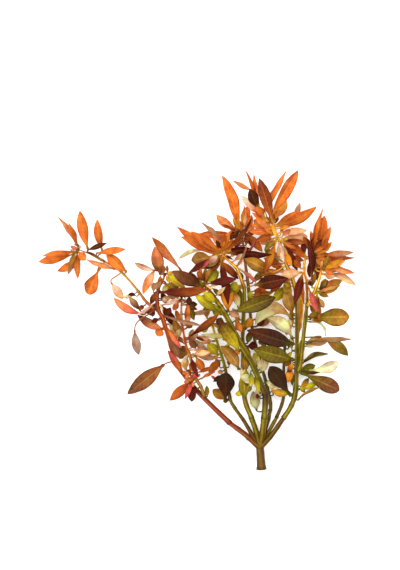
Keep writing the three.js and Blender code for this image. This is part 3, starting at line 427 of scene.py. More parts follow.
CROWNS = {
    "far_left_crown": Axis((0.65, 0.5), "russet-bronze", [
        (-87, 125, 12.6), (-92, 128, 11.6), (-103.5, 132.5, 10.1),
    ], [
        (-103, 133.5, -115, 152.2, 3, "salmon"), (-103.5, 133, -108.4, 148.3, 3, "rust-orange"),
        (-97.5, 131.5, -102, 155.6, 6.5, "orange", 0.4), (-88.8, 132.5, -92, 150.5, 5.2, "rust-orange", 0.6),
        (-97, 131.8, -85.5, 136, 3.2, "umber"), (-92, 128.8, -74.3, 132.3, 4.5, "orange"),
        (-104, 132, -124, 128.5, 4, "rust-orange"), (-106, 129.5, -127, 125, 5.4, "orange", 0.6),
        (-104, 131, -108, 122, 3, "bronze"), (-101, 127, -116, 119.4, 5, "orange", 0.8),
        (-103.5, 131, -103.4, 114.7, 4, "rust-orange"), (-103, 130, -98.2, 125.8, 5, "orange"),
        (-105, 130, -109.3, 117.2, 2.5, "mauve"), (-88, 125.6, -97.4, 131.2, 1.8, "bronze-maroon", 0.3),
    ]),
    "left_crown": Axis((0.85, 0.6), "rust-russet", [
        (-54.9, 108.7, 21.6), (-51.5, 115.5, 22.6), (-51.5, 118.5, 23.1),
    ], [
        (-51.5, 117.5, -57, 134, 7.5, "russet-salmon"), (-56, 119.5, -69, 124.4, 3.6, "pink-mauve", 0.8),
        (-57, 119.7, -63.9, 105.6, 5.2, "peach-orange", -0.4), (-53, 114, -58.5, 109.5, 4, "mauve", 1),
        (-51, 118, -38.5, 109, 5, "lime-bronze"), (-52, 113, -45, 101.5, 5, "mauve"),
        (-52.5, 112.5, -42, 110, 4, "bronze-olive"), (-51.5, 117, -47.8, 112.4, 2.6, "amber-lime"),
        (-51.5, 118, -45.2, 118.6, 2.2, "gold-rust"),
    ]),
    "thin_left_crown": Axis((0.8, 0.6), "bronze-rust", [
        (-41.2, 90, 21.6), (-41, 103.3, 24.1),
    ], [
        (-39, 101.5, -34.6, 101.5, 5, "umber"), (-37, 100, -33.5, 90, 4, "olive"),
        (-38.5, 93.5, -23, 95.7, 2.8, "mauve"), (-41, 102, -44, 108, 3, "orange"), (-41, 101, -46, 96, 3.5, "rust"),
        (-41.2, 119.5, -58.6, 139.4, 5, "salmon-rust", -0.4), (-39.5, 99, -31.5, 99.5, 4, "olive-umber"),
        (-41, 99, -31.6, 96.4, 2.8, "cocoa-maroon"), (-41, 101.6, -46.6, 99.6, 2.4, "salmon-pink"),
    ]),
    "lower_left_crown": Axis((0.9, 0.6), "rust-russet", [
        (-33.2, 54.6, 15.5), (-35.8, 57.5, 17.6), (-36, 61, 19.1),
    ], [
        (-36, 53, -48, 42, 6, "rust"), (-35, 52.5, -39, 43, 3, "crimson"), (-34.5, 52, -35, 41, 5, "maroon"),
        (-36, 60, -40.5, 58.5, 2.5, "orange"), (-36, 59, -31.5, 56, 3.4, "crimson"),
        (-36, 60, -38.5, 55.5, 2.5, "salmon"), (-36, 60.5, -39.6, 64.6, 2, "rust-orange"),
        (-36, 61, -32.8, 65, 2, "orange"), (-35.5, 58, -40.8, 60, 2.2, "peach-orange"),
        (-35.8, 59, -31, 61, 2, "salmon-orange"), (-34.5, 56, -39.8, 52.8, 2.6, "peach-orange"),
        (-34, 55.4, -30, 58, 2, "peach-orange"),
    ]),
    "middle_left_crown": Axis((1.3, 0.8), "olive-bronze", [
        (-17.5, 98, 26.6), (-24, 107, 28.6), (-28.5, 111.5, 29.6),
    ], [
        (-28.5, 112, -18.5, 119, 6, "olive-lime"), (-30.8, 113.6, -29.5, 121, 3, "rust"),
        (-26.5, 111.4, -8.5, 114.5, 5, "garnet-maroon"), (-27.7, 111.3, -22.3, 108.4, 1.5, "peach"),
        (-21.5, 100.5, -28, 107, 5, "lime"), (-28.5, 112, -24, 121, 3, "bronze"),
        (-27, 110.5, -34.5, 105.5, 3, "olive"), (-24, 107.5, -17, 104.5, 3, "olive"),
        (-27.8, 111, -20.2, 120.4, 5.6, "lime-olive", -0.6), (-28.5, 111.5, -31.8, 119, 4, "maroon-rust"),
        (-28.3, 111.5, -26.8, 121, 3.4, "rust-olive"), (-28.5, 111.5, -35.5, 115.6, 4, "umber-maroon", 0.3),
        (-26.5, 109.5, -35.5, 109.2, 3.2, "bronze-lime"), (-25.5, 108.7, -17.5, 113, 3, "cream-salmon", 0.3),
        (-22, 104.2, -15.2, 109.8, 2.6, "peach-sage"), (-23, 105.7, -30.2, 103, 3.4, "bronze-lime"),
        (-28.6, 111.8, -36.6, 118.8, 3.2, "umber-maroon"),
    ]),
    "middle_crown": Axis((0.9, 0.6), "gold-amber", [
        (-8, 121, 20.6), (-14.5, 127, 22.6), (-18.5, 131.5, 23.6),
    ], [
        (-17, 131, -43.8, 145.5, 5.5, "orange", 0.6), (-17.5, 128.5, -41.5, 139.8, 5.5, "orange", -0.8),
        (-17, 133, -35.3, 142.7, 6, "orange"), (-19, 133.5, -20.5, 137.5, 2.5, "umber"),
        (-15.5, 132, 0.8, 150.8, 3, "rust-umber", -1.5), (-15, 130.5, 1, 132.5, 4.5, "garnet-maroon"),
        (-14.5, 130, 12.6, 129, 5, "garnet"), (-14.5, 130, -10.5, 126, 1.5, "umber"),
        (-17, 125, -7, 114.5, 4.5, "rust-maroon"), (-22.5, 128.5, -29.5, 120, 2.2, "crimson"),
        (-8, 122.5, 4.8, 139, 1, "crimson"), (-6.5, 123.5, -2.4, 133.8, 1.3, "mauve"),
        (-28, 132, -42.8, 126.8, 3, "sage", -1.2), (-24, 127.5, -35.2, 125.8, 9, "bronze"),
        (-18, 128, -26, 122, 5, "tan"), (-18, 124, -29, 121, 3, "umber"), (-17, 133.5, -12.5, 142.5, 4, "orange"),
        (-21, 127.5, -37, 118, 4, "maroon"), (-17, 126, -25, 119.5, 5, "rust"),
        (-18.5, 131.5, -30, 141.8, 3.8, "orange", 0.3), (-18.5, 131.8, -22.5, 141, 3.4, "orange-salmon"),
        (-18, 132, -15.2, 141.4, 3.6, "orange-rust"), (-17.5, 130.5, -25, 123.6, 4, "pink-mauve"),
        (-11, 124.5, -3.6, 129.2, 3, "salmon-cream", 0.3), (-18.5, 131, -27.5, 133.8, 2.4, "amber-orange"),
        (-18, 131, -10.5, 138.5, 2.6, "orange-rust", -0.4), (-16, 129, -20.5, 124.5, 3.4, "rust-maroon"),
        (-16, 128.5, -11.5, 133.2, 2.2, "gold-amber"), (-8.6, 121.8, -4.6, 126.9, 2, "salmon"),
        (-13.6, 126.4, -9, 129.8, 2, "salmon-cream"), (-17, 130.5, -8, 136.6, 3, "orange-rust"),
        (-18, 131, -12.4, 140.6, 3, "amber-orange"), (-17, 130, -10.4, 131.6, 2, "amber-gold"),
    ]),
    "middle_back_crown": Axis((0.8, 0.6), "rust-russet", [
        (-3, 125, 9.6), (-5, 144, 13.6),
    ], [
        (-5, 144.5, -17, 176.2, 6.8, "orange", -1.6), (-8.5, 144.5, -20.2, 153, 5.4, "salmon", 1),
        (-6.8, 144.2, -12.5, 138, 4, "umber"), (-8, 140.5, -30, 142, 5, "orange"),
        (-1, 141, 7.5, 131, 5, "rust-orange"), (-16, 136.5, -29.3, 148.6, 3, "mauve"),
        (-6, 142, -17, 147.3, 2, "rust"), (-6, 136, -9.5, 134, 3, "rust"),
        (-4.5, 147, -1, 158.5, 5.5, "amber-orange"), (-3.5, 134.5, -1, 142.5, 4, "rust"),
        (-4.4, 138.5, -9.5, 134, 4, "rust-umber"), (-4.2, 137, 3.5, 135.2, 4, "maroon-umber"),
        (-4, 135, -11, 138, 2.8, "salmon"), (-4.8, 142.5, 2.6, 146.8, 3.6, "salmon-orange"),
        (-4.7, 141.5, 3, 141.8, 2.6, "rust-maroon"), (-5, 144, 0.8, 152.8, 4.2, "orange", -0.5),
        (-5, 144, -10.5, 151, 2.6, "gold-amber"), (-4.8, 142, -13, 142.6, 3, "orange-salmon"),
        (-5, 143.5, -8, 152.5, 2.4, "gold-amber"), (-4.9, 143.5, -3.4, 158.4, 3, "peach-salmon"),
        (-4.8, 141, -12.6, 140.2, 3, "orange-rust"), (-4.5, 139, 1.6, 139.6, 3, "rust"),
        (-4.3, 137, -12, 134.4, 2.8, "rust-maroon"), (-4.9, 143, -11, 145.8, 3, "salmon-orange"),
    ]),
    "right_crown": Axis((0.85, 0.6), "gold-gold", [
        (18.9, 130.2, 20.1), (17.2, 137.3, 21.1), (12.5, 149, 22.6),
    ], [
        (7, 154, 21.3, 179.3, 4.3, "rust-orange", -0.8), (12, 152, 28.2, 179.2, 7, "orange"),
        (14.5, 149.5, 21.5, 163.3, 7.5, "amber"), (15.5, 146, 39.4, 157.7, 6.4, "rust-orange", -1.5),
        (15, 146.5, 30, 155.5, 4.5, "rust-orange"), (26.5, 150, 30.3, 160.5, 3.5, "mauve"),
        (18.5, 138, 34.5, 140, 5.5, "peach", 0.6), (19, 136.8, 33.5, 136.3, 4, "maroon-rust"),
        (2.5, 166.5, -10.6, 173.3, 2.5, "salmon"), (4, 160, -2.8, 179, 2.5, "rust-orange"),
        (5, 158, 2, 177.3, 3, "orange"), (12.5, 148, 5, 174.2, 7, "rust-redwood"),
        (4.2, 156.3, -0.5, 167.8, 6.5, "umber"), (8, 152, 3.5, 157.5, 5, "orange"),
        (14.5, 143.5, 3, 154.5, 3, "orange"), (13, 143.5, 2, 149.8, 6.5, "salmon"),
        (13.5, 143.2, -0.8, 142.7, 4, "crimson-orange"), (13.5, 141, 3, 137, 4.6, "rust"),
        (18.5, 137.5, 34, 127, 5.6, "rust-orange"), (18.5, 137, 28, 119.5, 4.6, "maroon"),
        (19.5, 133, 24.5, 122.3, 3.8, "amber"), (18.2, 137, 19.8, 124.5, 3, "pink"),
        (17.5, 137.5, 8, 118, 5.2, "amber-rust"), (15.5, 139.5, 6, 135.5, 4, "peach"),
        (13.3, 145.5, 0.5, 147, 3.8, "amber-orange"), (6.5, 152.5, -6, 164.5, 4.5, "salmon-pink"),
        (17, 141.8, 34, 143.6, 4.5, "peach"), (14.2, 142.6, 3, 141.2, 2.2, "orange", 0.3),
        (15.2, 141.8, 5.5, 137.4, 2.6, "amber"), (11, 144.5, 3, 152, 4.2, "salmon-orange", 0.4),
        (10.5, 147.8, 1, 154, 3, "orange"), (15.8, 138, 8.5, 131.3, 3.6, "bronze-olive", -0.5),
        (13.6, 146.5, 16.5, 152.5, 2.6, "maroon-rust"), (16.8, 139, 24, 143.8, 3.2, "salmon-orange", 0.4),
        (17.8, 135.5, 22, 127.2, 2.8, "cream-amber"), (15, 142, 9.5, 150, 2.2, "amber"),
        (14.8, 141.5, 8, 145, 2.4, "orange"), (16.9, 138.5, 11.5, 134, 3, "amber-rust"),
        (17.8, 136, 27.5, 132, 3.2, "orange-rust", 0.3), (17.4, 136, 16.4, 127.4, 2.2, "cream-amber"),
        (14.6, 144, 23.6, 145.7, 2.6, "amber-orange"), (16.6, 139, 12.6, 148.2, 2.6, "gold-amber"),
        (16.8, 140.4, 19.8, 147, 2.4, "amber-orange"), (17.4, 137, 22.6, 139.6, 2.6, "gold-amber"),
        (16.8, 139.6, 10.8, 136.6, 2.4, "gold-amber"),
    ]),
    "outer_right_crown": Axis((0.75, 0.55), "gold-rust", [
        (32, 123.2, 24.1), (33, 127, 24.6), (38.5, 130, 25.1),
    ], [
        (37.5, 132, 42.7, 156.3, 3.5, "orange"), (40.5, 132, 44, 152.3, 6.5, "rust-orange"),
        (42, 131, 47.5, 145.8, 4, "orange"), (42.5, 130, 45.3, 139, 4, "rust"), (43, 130, 48.1, 136.6, 3, "amber"),
        (38.5, 127, 38.3, 143, 4, "maroon"), (38, 128.5, 62.2, 127.1, 3.5, "rust"),
        (42, 128.5, 61.3, 130.4, 3.8, "rust-mauve"), (39.5, 129, 47.5, 124.5, 3, "amber"),
        (37, 129.5, 31.8, 139.8, 4.5, "rust"), (39, 127.5, 40.5, 112.5, 4, "rust-maroon"),
        (36.5, 129, 46.8, 119.8, 4.4, "amber-bronze", 0.4), (35.5, 128.5, 42, 120.5, 3.8, "mauve-cocoa"),
        (37.5, 129.5, 51.5, 125.3, 3.4, "amber", -0.4), (38, 130, 47.5, 133.5, 2.6, "bronze-amber"),
        (38.2, 130.2, 43.8, 138.4, 3.6, "rust-maroon"), (35.5, 128.6, 37.6, 139.5, 3, "maroon"),
        (37, 129.3, 44, 134.5, 2.4, "orange"), (37.5, 129.5, 46, 130, 2.8, "orange-rust"),
        (33.5, 127.5, 30.8, 136.5, 3.4, "maroon"), (33, 126.6, 35.2, 115.4, 3.4, "maroon"),
        (37.5, 129.8, 35.8, 143.4, 2.6, "rust-orange"), (38, 130, 39.2, 148.6, 3, "orange"),
    ]),
    "outer_right_branch_crown": Axis((0.8, 0.6), "gold-amber", [
        (41, 115, 25.6), (42.5, 122, 26.6),
    ], [
        (45, 122.5, 61.7, 118, 4, "salmon"), (41, 122.5, 56, 125.5, 4.5, "amber"),
        (43, 117.5, 63, 110.8, 4, "peach", 1.5), (42.5, 121, 49, 117, 3.5, "orange"),
        (42.3, 119.8, 50, 124.6, 3.4, "amber"), (41.9, 118.2, 49.8, 115.4, 4.2, "salmon-peach"),
        (42.4, 121, 54.5, 127.2, 3.4, "amber-bronze", -0.5), (42, 119, 36.6, 123, 3.4, "bronze-cocoa"),
        (42.4, 121.2, 46.3, 128.6, 3.2, "olive-bronze"), (42.2, 120, 52, 119.4, 2.8, "peach-orange"),
    ]),
}

# Each leaf that is a piece of its own, with the stem or crown that it grows from
GROWN_LEAVES = {
    "drooping_coral_leaf": ("far_left_branch", (-64, 93.5, -81.4, 103.5, 5, "crimson-salmon", 1.6)),
    "far_left_spoon_leaf": ("far_left_branch", (-90.3, 121, -97.7, 105.5, 8.5, "orange")),
    "left_cross_leaf": ("left_stem", (-53.5, 107, -24.8, 108.6, 6, "maroon-rust", -0.6)),
    "left_shadow_leaf": ("middle_left_crown", (-31, 112, -46.5, 119.3, 7.5, "umber-cocoa")),
    "hanging_mauve_leaf": ("far_left_branch", (-69.1, 83.5, -66.8, 69, 5.5, "dust", -0.4)),
    "low_rust_leaf": ("left_stem", (-52, 63, -73.8, 45.2, 9, "russet-cocoa")),
    "left_salmon_leaf": ("left_stem", (-51.5, 84.5, -67.6, 93, 5.5, "salmon-maroon", 0.8)),
    "left_mauve_leaf": ("left_stem", (-49.5, 84, -42, 67, 5, "cocoa")),
    "left_olive_leaf": ("left_stem", (-47, 70.5, -37.5, 69.8, 8, "cocoa-bronze")),
    "left_crimson_leaf": ("left_stem", (-49, 86, -41, 73.5, 3.5, "orange-crimson")),
    "left_orange_leaf": ("left_stem", (-40.8, 59.5, -49.3, 72, 4.4, "orange-crimson", -0.5)),
    "thin_stem_leaf": ("thin_left_stem", (-37, 79.8, -19, 93.5, 4.5, "maroon-rust")),
    "low_purple_leaf": ("short_left_stem", (-14.8, 41.2, -14.4, 58.8, 11, "umber-sable")),
    "middle_olive_leaf": ("middle_left_stem", (-5, 73.5, -19.5, 91, 7.5, "lime-umber")),
    "middle_pale_leaf": ("middle_left_stem", (-11.5, 80.5, -29.5, 81.6, 3.5, "lime-cream")),
    "middle_tan_leaf": ("middle_stem", (-5, 61, -17.8, 74.5, 7.5, "tan-bronze", -1.5)),
    "middle_front_leaf": ("middle_crown", (-17.5, 126.5, -13.3, 99, 5.2, "maroon-garnet")),
    "middle_green_leaf": ("middle_left_stem", (-19.5, 95, -33, 105.5, 5.5, "olive-lime")),
    "middle_amber_leaf": ("middle_left_stem", (-14, 95, -14, 112, 8, "amber")),
    "centre_olive_leaf": ("middle_left_stem", (-10, 94.8, 15, 103.8, 9.2, "olive-bark")),
    "centre_bronze_leaf": ("right_stem", (12, 119, -3.5, 126.5, 8, "bronze")),
    "centre_dark_leaf": ("middle_stem", (3, 111, 22.3, 115, 8.5, "umber-garnet")),
    "right_peach_leaf": ("outer_right_stem", (30, 118.5, 18, 117, 6, "peach")),
    "right_front_leaf": ("outer_right_stem", (30, 118, 25.7, 99.3, 5, "maroon-garnet")),
    "right_red_leaf": ("outer_right_branch", (38.5, 106, 40.8, 89.5, 3, "maroon-rust")),
    "right_orange_leaf": ("outer_right_branch", (40.5, 109, 55, 113.8, 5, "orange-bronze")),
    "long_dark_leaf": ("right_stem", (26.5, 76, -2.3, 84.2, 10, "sable-umber")),
    "long_olive_leaf": ("right_stem", (26, 66.5, 1.5, 73, 10.5, "olive")),
    "right_cream_leaf": ("right_stem", (26, 79.5, 10.3, 91, 7.8, "cream", -2.5)),
    "bowed_beige_leaf": ("right_stem", (26, 91, 3, 87.5, 9, "tan-sage", -8)),
    "right_tan_leaf": ("right_stem", (26.2, 94, 21, 108, 7.5, "bronze-tan")),
    "low_dark_leaf": ("right_stem", (25.5, 44.5, 11.5, 62.5, 10, "sable")),
    "spoon_leaf": ("outer_right_stem", (35.5, 92, 58.9, 92, 11, "olive-bronze")),
    "edge_on_leaf": ("outer_right_stem", (36, 77, 60, 78.6, 3.8, "tan-mauve", 1.5)),
    "stalked_leaf": ("outer_right_stem", (45.5, 78.3, 59, 68.5, 6.5, "bronze-olive", 0.9)),
    "low_cream_leaf": ("right_stem", (35, 60.2, 52.8, 65, 6.8, "sage-ivory", -1.7)),
    "low_brown_leaf": ("right_stem", (31, 58.3, 54, 47.5, 9.4, "olive-cocoa")),
    "bowed_maroon_leaf": ("outer_right_stem", (36.4, 114.5, 33.2, 138.5, 4.6, "garnet-maroon", -0.7)),
}


def tint_of(name):
    """A named colour as light, from the way that it is shown on a screen."""
    return Vector([channel ** SCREEN_GAMMA for channel in COLOURS[name]])


def colour_along(colours, share):
    """The colour at a share of a stem's length, between the ones named from its bottom to its top."""
    names = colours.split("-")
    place = share * (len(names) - 1)
    below = min(int(place), len(names) - 2)
    return tint_of(names[below]).lerp(tint_of(names[below + 1]), place - below)


def frame_across(tangent, roll=0.0):
    """Left and upward directions across a line that runs along the tangent."""
    left = UP.cross(tangent).normalized()
    up = tangent.cross(left).normalized()
    turn = Matrix.Rotation(roll, 3, tangent)
    return turn @ left, turn @ up


def ring_directions(left, up):
    """The share of a turn, the angle and the direction of each side of a ring."""
    for side in range(RING_SIDES):
        turn = 2 * math.pi * side / RING_SIDES
        yield side / RING_SIDES, turn, left * math.cos(turn) + up * math.sin(turn)


def curve_through(points, steps):
    """A smooth line through the points, with so many steps from each to the next, by the Catmull-Rom rule."""
    ends = [points[0] * 2 - points[1], *points, points[-1] * 2 - points[-2]]
    line = []
    for before, here, there, after in zip(ends, ends[1:], ends[2:], ends[3:]):
        for step in range(steps):
            t = step / steps
            line.append(
                0.5 * (2 * here + (there - before) * t + (2 * before - 5 * here + 4 * there - after) * t ** 2
                       + (3 * here - before - 3 * there + after) * t ** 3)
            )
    line.append(points[-1].copy())
    return line


def bend_between(start, leaving, arriving, end, steps):
    """A bend from start to end that leaves towards one point and arrives from another."""
    return [
        start * (1 - t) ** 3 + leaving * 3 * t * (1 - t) ** 2 + arriving * 3 * t ** 2 * (1 - t) + end * t ** 3
        for t in (step / steps for step in range(steps + 1))
    ]


def arch_between(start, middle, end, steps):
    """An arch from start to end that is drawn towards its middle."""
    return [
        start * (1 - t) ** 2 + middle * 2 * t * (1 - t) + end * t ** 2
        for t in (step / steps for step in range(steps + 1))
    ]


def tangents_of(line):
    """The direction of a line at each of its points."""
    last = len(line) - 1
    return [(line[min(i + 1, last)] - line[max(i - 1, 0)]).normalized() for i in range(last + 1)]


def bump_at(distance, width):
    """A smooth bump of height 1 where the distance is 0."""
    return math.exp(-((distance / width) ** 2))


def cad_height(node, leaf):
    """How high above the table the node's corner nearest to the leaf's tip is, as seen from above."""
    spot = (Vector((leaf.tip_x, leaf.tip_y, 0)) * MM + DRAWING_SHIFT).xy
    corner = min(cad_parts[node].data.vertices, key=lambda vertex: (vertex.co.xy - spot).length)
    return corner.co.z / MM


def nearest_on(axis, leaf):
    """The place on an axis nearest to a leaf's base, its distance, and the radius and direction there."""
    base = Vector((leaf.base_x, leaf.base_y))
    points = [Vector(point) for point in axis.line]
    foot, top = axis.radii
    places = []
    for i, (start, end) in enumerate(zip(points, points[1:])):
        run = end - start
        share = min(max((base - start.xy).dot(run.xy) / run.xy.length_squared, 0), 1)
        place = start + run * share
        radius = foot + (top - foot) * (i + share) / (len(points) - 1)
        places.append((place, (place.xy - base).length, radius, run.normalized()))
    return min(places, key=lambda found: found[1])


def leaf_line(axis, leaf, length, tip_height, steps):
    """The points of a leaf's middle line: those of its stalk, from inside its stem, and its blade's."""
    place, far, radius, along = nearest_on(axis, leaf)
    tip = Vector((leaf.tip_x, leaf.tip_y, tip_height))
    base = Vector((leaf.base_x, leaf.base_y, place.z + (tip_height - place.z) * far / (far + length)))
    shortest = radius + JOINT_GAP + STALK_LENGTH
    away = (base if far > shortest else tip) - place
    away = (away - along * away.dot(along)).normalized()
    root = place + away * radius * ROOT_DEPTH
    start = base if far > shortest else place + away * shortest
    sideways = Vector((leaf.base_y - leaf.tip_y, leaf.tip_x - leaf.base_x, 0)).normalized()
    middle = (start + tip) / 2 + sideways * 2 * leaf.bow + UP * 2 * LEAF_ARCH * length
    run = (start - root).length
    ahead = start - (middle - start).normalized() * run * STALK_BEND
    stalk_steps = max(FEWEST_STALK_STEPS, round(run / STALK_STEP))
    stalk = bend_between(root, root + away * run * STALK_BEND, ahead, start, stalk_steps)[:-1]
    return stalk, arch_between(start, middle, tip, steps)


class Skin:
    """The points, faces, tints and marks of a piece, gathered before they become its mesh."""

    def __init__(self):
        self.points = []
        self.tints = []
        self.marks = []
        self.faces = []
        self.finishes = []

    def loft(self, rings, finish):
        """Joins rings of (point, tint, mark) into one closed skin."""
        first = len(self.points)
        sides = len(rings[0])
        for ring in rings:
            for point, tint, mark in ring:
                self.points.append(point * MM + DRAWING_SHIFT)
                self.tints.append(tint)
                self.marks.append(mark)
        faces = []
        for below in range(first, first + (len(rings) - 1) * sides, sides):
            for side in range(sides):
                a, b = below + side, below + (side + 1) % sides
                faces.append((a, b, b + sides, a + sides))
        last = first + (len(rings) - 1) * sides
        faces.append([first + side for side in reversed(range(sides))])
        faces.append([last + side for side in range(sides)])
        self.faces += faces
        self.finishes += [finish] * len(faces)

    def build(self, name, materials):
        """The piece's object, with its tints and marks for the materials to read."""
        mesh = bpy.data.meshes.new(name)
        mesh.from_pydata(self.points, [], self.faces)
        for material in materials:
            mesh.materials.append(material)
        mesh.polygons.foreach_set("material_index", self.finishes)
        tints = mesh.color_attributes.new("tint", "FLOAT_COLOR", "POINT")
        tints.data.foreach_set("color", [channel for tint in self.tints for channel in tint])
        marks = mesh.uv_layers.new(name="marks")
        for loop in mesh.loops:
            marks.data[loop.index].uv = self.marks[loop.vertex_index]
        mesh.shade_smooth()
        piece = bpy.data.objects.new(name, mesh)
        bpy.context.scene.collection.objects.link(piece)
        return piece


def blade_width(t, widest, blunt):
    """The share of a blade's full width at t along it, with where it is widest and whether it is blunt."""
    bend = math.log(0.5) / math.log(widest)
    fullness = 1.0 if t < widest else BLUNT_FULLNESS if blunt else POINTED_FULLNESS
    return max(BASE_WIDTH * (1 - 3 * t), math.sin(math.pi * min(t, TIP_END) ** bend) ** fullness)


def root_colour(axis, leaf):
    """The colour of an axis where a leaf grows from it."""
    foot, *_, top = (Vector(point).xy for point in axis.line)
    along = top - foot
    share = (Vector((leaf.base_x, leaf.base_y)) - foot).dot(along) / along.length_squared
    return colour_along(axis.colours, min(max(share, 0), 0.999))


def add_leaf(skin, axis, leaf, tip_height, name):
    """A folded, slightly wavy leaf with a sunk midrib, on its stalk."""
    look = bpy.context.scene.plant_leaves
    length = math.hypot(leaf.tip_x - leaf.base_x, leaf.tip_y - leaf.base_y)
    steps = look.steps if length > LONG_LEAF else look.steps // 2
    stalk, blade = leaf_line(axis, leaf, length, tip_height, steps)
    width = max(leaf.width, min(LEAF_SLENDERNESS * length, WIDEST_LEAF))
    leaning = 1 if math.floor(leaf.base_x + leaf.tip_y + 0.5) % 2 else -1
    roll = math.acos(leaf.width / width) * leaning
    chance = random.Random(name)
    twist = chance.uniform(*TWISTS)
    fold = look.fold * chance.uniform(*FOLDS)
    waves = chance.uniform(*WAVES)
    phases = {1: chance.uniform(0, 1), -1: chance.uniform(0, 1)}
    wave_height = look.wave * chance.uniform(*WAVE_HEIGHTS)
    tone = chance.uniform(*TONES)
    paleness = chance.uniform(*PALENESSES)
    # Painted shade: one half of the blade, on a side of the midrib chosen at random, is darkened in its colour as if
    # that half of the fold lay in shade.
    painted_half_shade = look.painted_half_shade * chance.uniform(0, 1)
    painted_shade_side = chance.choice((-1, 1))
    blunt = name in BLUNT_LEAVES
    widest = BLUNT_WIDEST if blunt else chance.uniform(*WIDEST_PLACES)
    colours = leaf.colours.split("-")
    if colours[0] in GREEN_TISSUE:
        paleness = 1
    root_tint = root_colour(axis, leaf)
    base_tint = tint_of(colours[0]) * tone
    tip_tint = tint_of(colours[-1]) * tone
    thickness = look.thickness / MM
    groove = look.midrib / MM
    stalk_half = look.stalk / MM / 2
    wing = max(width / 2 * blade_width(0, widest, blunt) - stalk_half, 0) if len(stalk) < LONG_STALK else 0
    centres = stalk + blade
    rings = []
    for i, (centre, tangent) in enumerate(zip(centres, tangents_of(centres))):
        on_stalk = i < len(stalk)
        t = max((i - len(stalk)) / steps, 0)
        left, up = frame_across(tangent, roll + twist * (t - TWIST_PIVOT))
        if on_stalk:
            half = stalk_half + wing * (i / len(stalk)) ** 2
            thick = stalk_half * STALK_THICKNESS
        else:
            half = max(width / 2 * blade_width(t, widest, blunt), THINNEST_HALF)
            thick = thickness + BASE_THICKENING * (1 - t) ** 3
        blade_tint = base_tint.lerp(tip_tint, min(max(t * TIP_COLOUR_RISE - TIP_COLOUR_START, 0), 1))
        tint = root_tint.lerp(blade_tint, min(t / look.flush, 1) ** FLUSH_EASE)
        ring_top = []
        ring_under = []
        for k in range(POINTS_ACROSS):
            u = 1 - 2 * k / (POINTS_ACROSS - 1)
            out = abs(u)
            side = 1 if u >= 0 else -1
            lift = 0
            depth = thick * (1 - EDGE_THINNING * out ** 2)
            if not on_stalk:
                wave = wave_height * math.sin(2 * math.pi * (waves * t + phases[side])) * out ** 2
                lift = half * (fold * out + wave) - groove * bump_at(u, GROOVE_WIDTH)
                depth += RIB_DEPTH * bump_at(u, RIB_WIDTH) * (1 - t)
            top = centre + left * u * half + up * lift
            under = top - up * depth
            top.z = max(top.z, LOWEST_TOP)
            under.z = max(under.z, 0)
            mark = ((u + 1) / 2, STALK_MARK if on_stalk else t)
            # The painted half shade darkens the tint on one side of the midrib.
            shown = (*(tint * (1 - painted_half_shade * max(u * painted_shade_side, 0) ** PAINTED_SHADE_EASE)), paleness)
            ring_top.append((top, shown, mark))
            ring_under.append((under, shown, mark))
        rings.append(ring_top + ring_under[-2:0:-1])
    skin.loft(rings, LEAF_TISSUE)


def add_stem(skin, axis, closing=1.0):
    """A round stem along its line, a little thicker where leaves grow from it."""
    look = bpy.context.scene.plant_stems
    line = curve_through([Vector(point) for point in axis.line], look.steps)
    foot, top = axis.radii
    swellings = [nearest_on(axis, Leaf(*row))[0] for row in axis.leaves]
    rings = []
    run = 0
    for i, (centre, tangent) in enumerate(zip(line, tangents_of(line))):
        share = i / (len(line) - 1)
        run += (centre - line[max(i - 1, 0)]).length
        near = min((abs((centre - place).length) for place in swellings), default=math.inf)
        spaced = abs((run + KNOT_REACH) % (look.spacing / MM) - KNOT_REACH)
        knot = max(bump_at(near, LEAF_KNOT), bump_at(spaced, BARE_KNOT) * BARE_KNOT_SIZE)
        radius = (foot + (top * closing - foot) * share) * (1 + look.swelling * knot)
        tint = colour_along(axis.colours, share) * (1 - KNOT_DARKNESS * knot)
        ring = []
        for round_share, turn, direction in ring_directions(*frame_across(tangent)):
            ridge = 0.5 + 0.5 * math.cos(STEM_RIDGES * turn + run / RIDGE_WINDING)
            spot = centre * UNEVEN_CLOSENESS + Vector((math.cos(turn), math.sin(turn), 0))
            uneven = 1 + UNEVENNESS * noise.noise(spot)
            point = centre + direction * (radius * uneven * (1 + look.ridges * (ridge - 0.5)))
            point.z = max(point.z, 0)
            # The ridge value also goes to the material, which paints a highlight on each ridge and shade in each
            # groove.
            ring.append((point, (*tint, ridge), (round_share, run / MARK_LENGTH)))
        rings.append(ring)
    skin.loft(rings, STEM_SKIN)


def add_bud(skin, axis, name):
    """The youngest leaves, still closed round the end of a crown's core."""
    chance = random.Random(name + " bud")
    before, end = (Vector(point) for point in axis.line[-2:])
    along = (end - before).normalized()
    left, up = frame_across(along)
    colour = Leaf(*axis.leaves[0]).colours.split("-")[0]
    stub = Axis(axis.radii, axis.colours, [end - along * BUD_CORE, end])
    for k in range(BUD_LEAVES):
        turn = 2 * math.pi * (k + chance.uniform(*BUD_TURNS)) / BUD_LEAVES
        out = left * math.cos(turn) + up * math.sin(turn)
        tip = end + along * chance.uniform(*BUD_RISES) + out * chance.uniform(*BUD_LEANS)
        base = end - along * BUD_DEPTH + out * BUD_SPREAD
        width, bow = chance.uniform(*BUD_WIDTHS), chance.uniform(*BUD_BOWS)
        young = Leaf(base.x, base.y, tip.x, tip.y, width, colour, bow)
        add_leaf(skin, stub, young, max(tip.z, LOWEST_BUD_TIP), f"{name} bud {k}")


def add_cut_end(skin, axis):
    """The plant's cut end: a pale, slightly sunk pith inside a green rim."""
    foot, ahead = (Vector(point) for point in axis.line[:2])
    along = (ahead - foot).normalized()
    rings = []
    for share, depth, colour in CUT_RINGS:
        ring = []
        for round_share, _, direction in ring_directions(*frame_across(along)):
            point = foot + direction * axis.radii[0] * share + along * depth
            point.z = max(point.z, 0)
            ring.append((point, (*tint_of(colour), 1), (round_share, depth / MARK_LENGTH)))
        rings.append(ring)
    skin.loft(rings, STEM_SKIN)


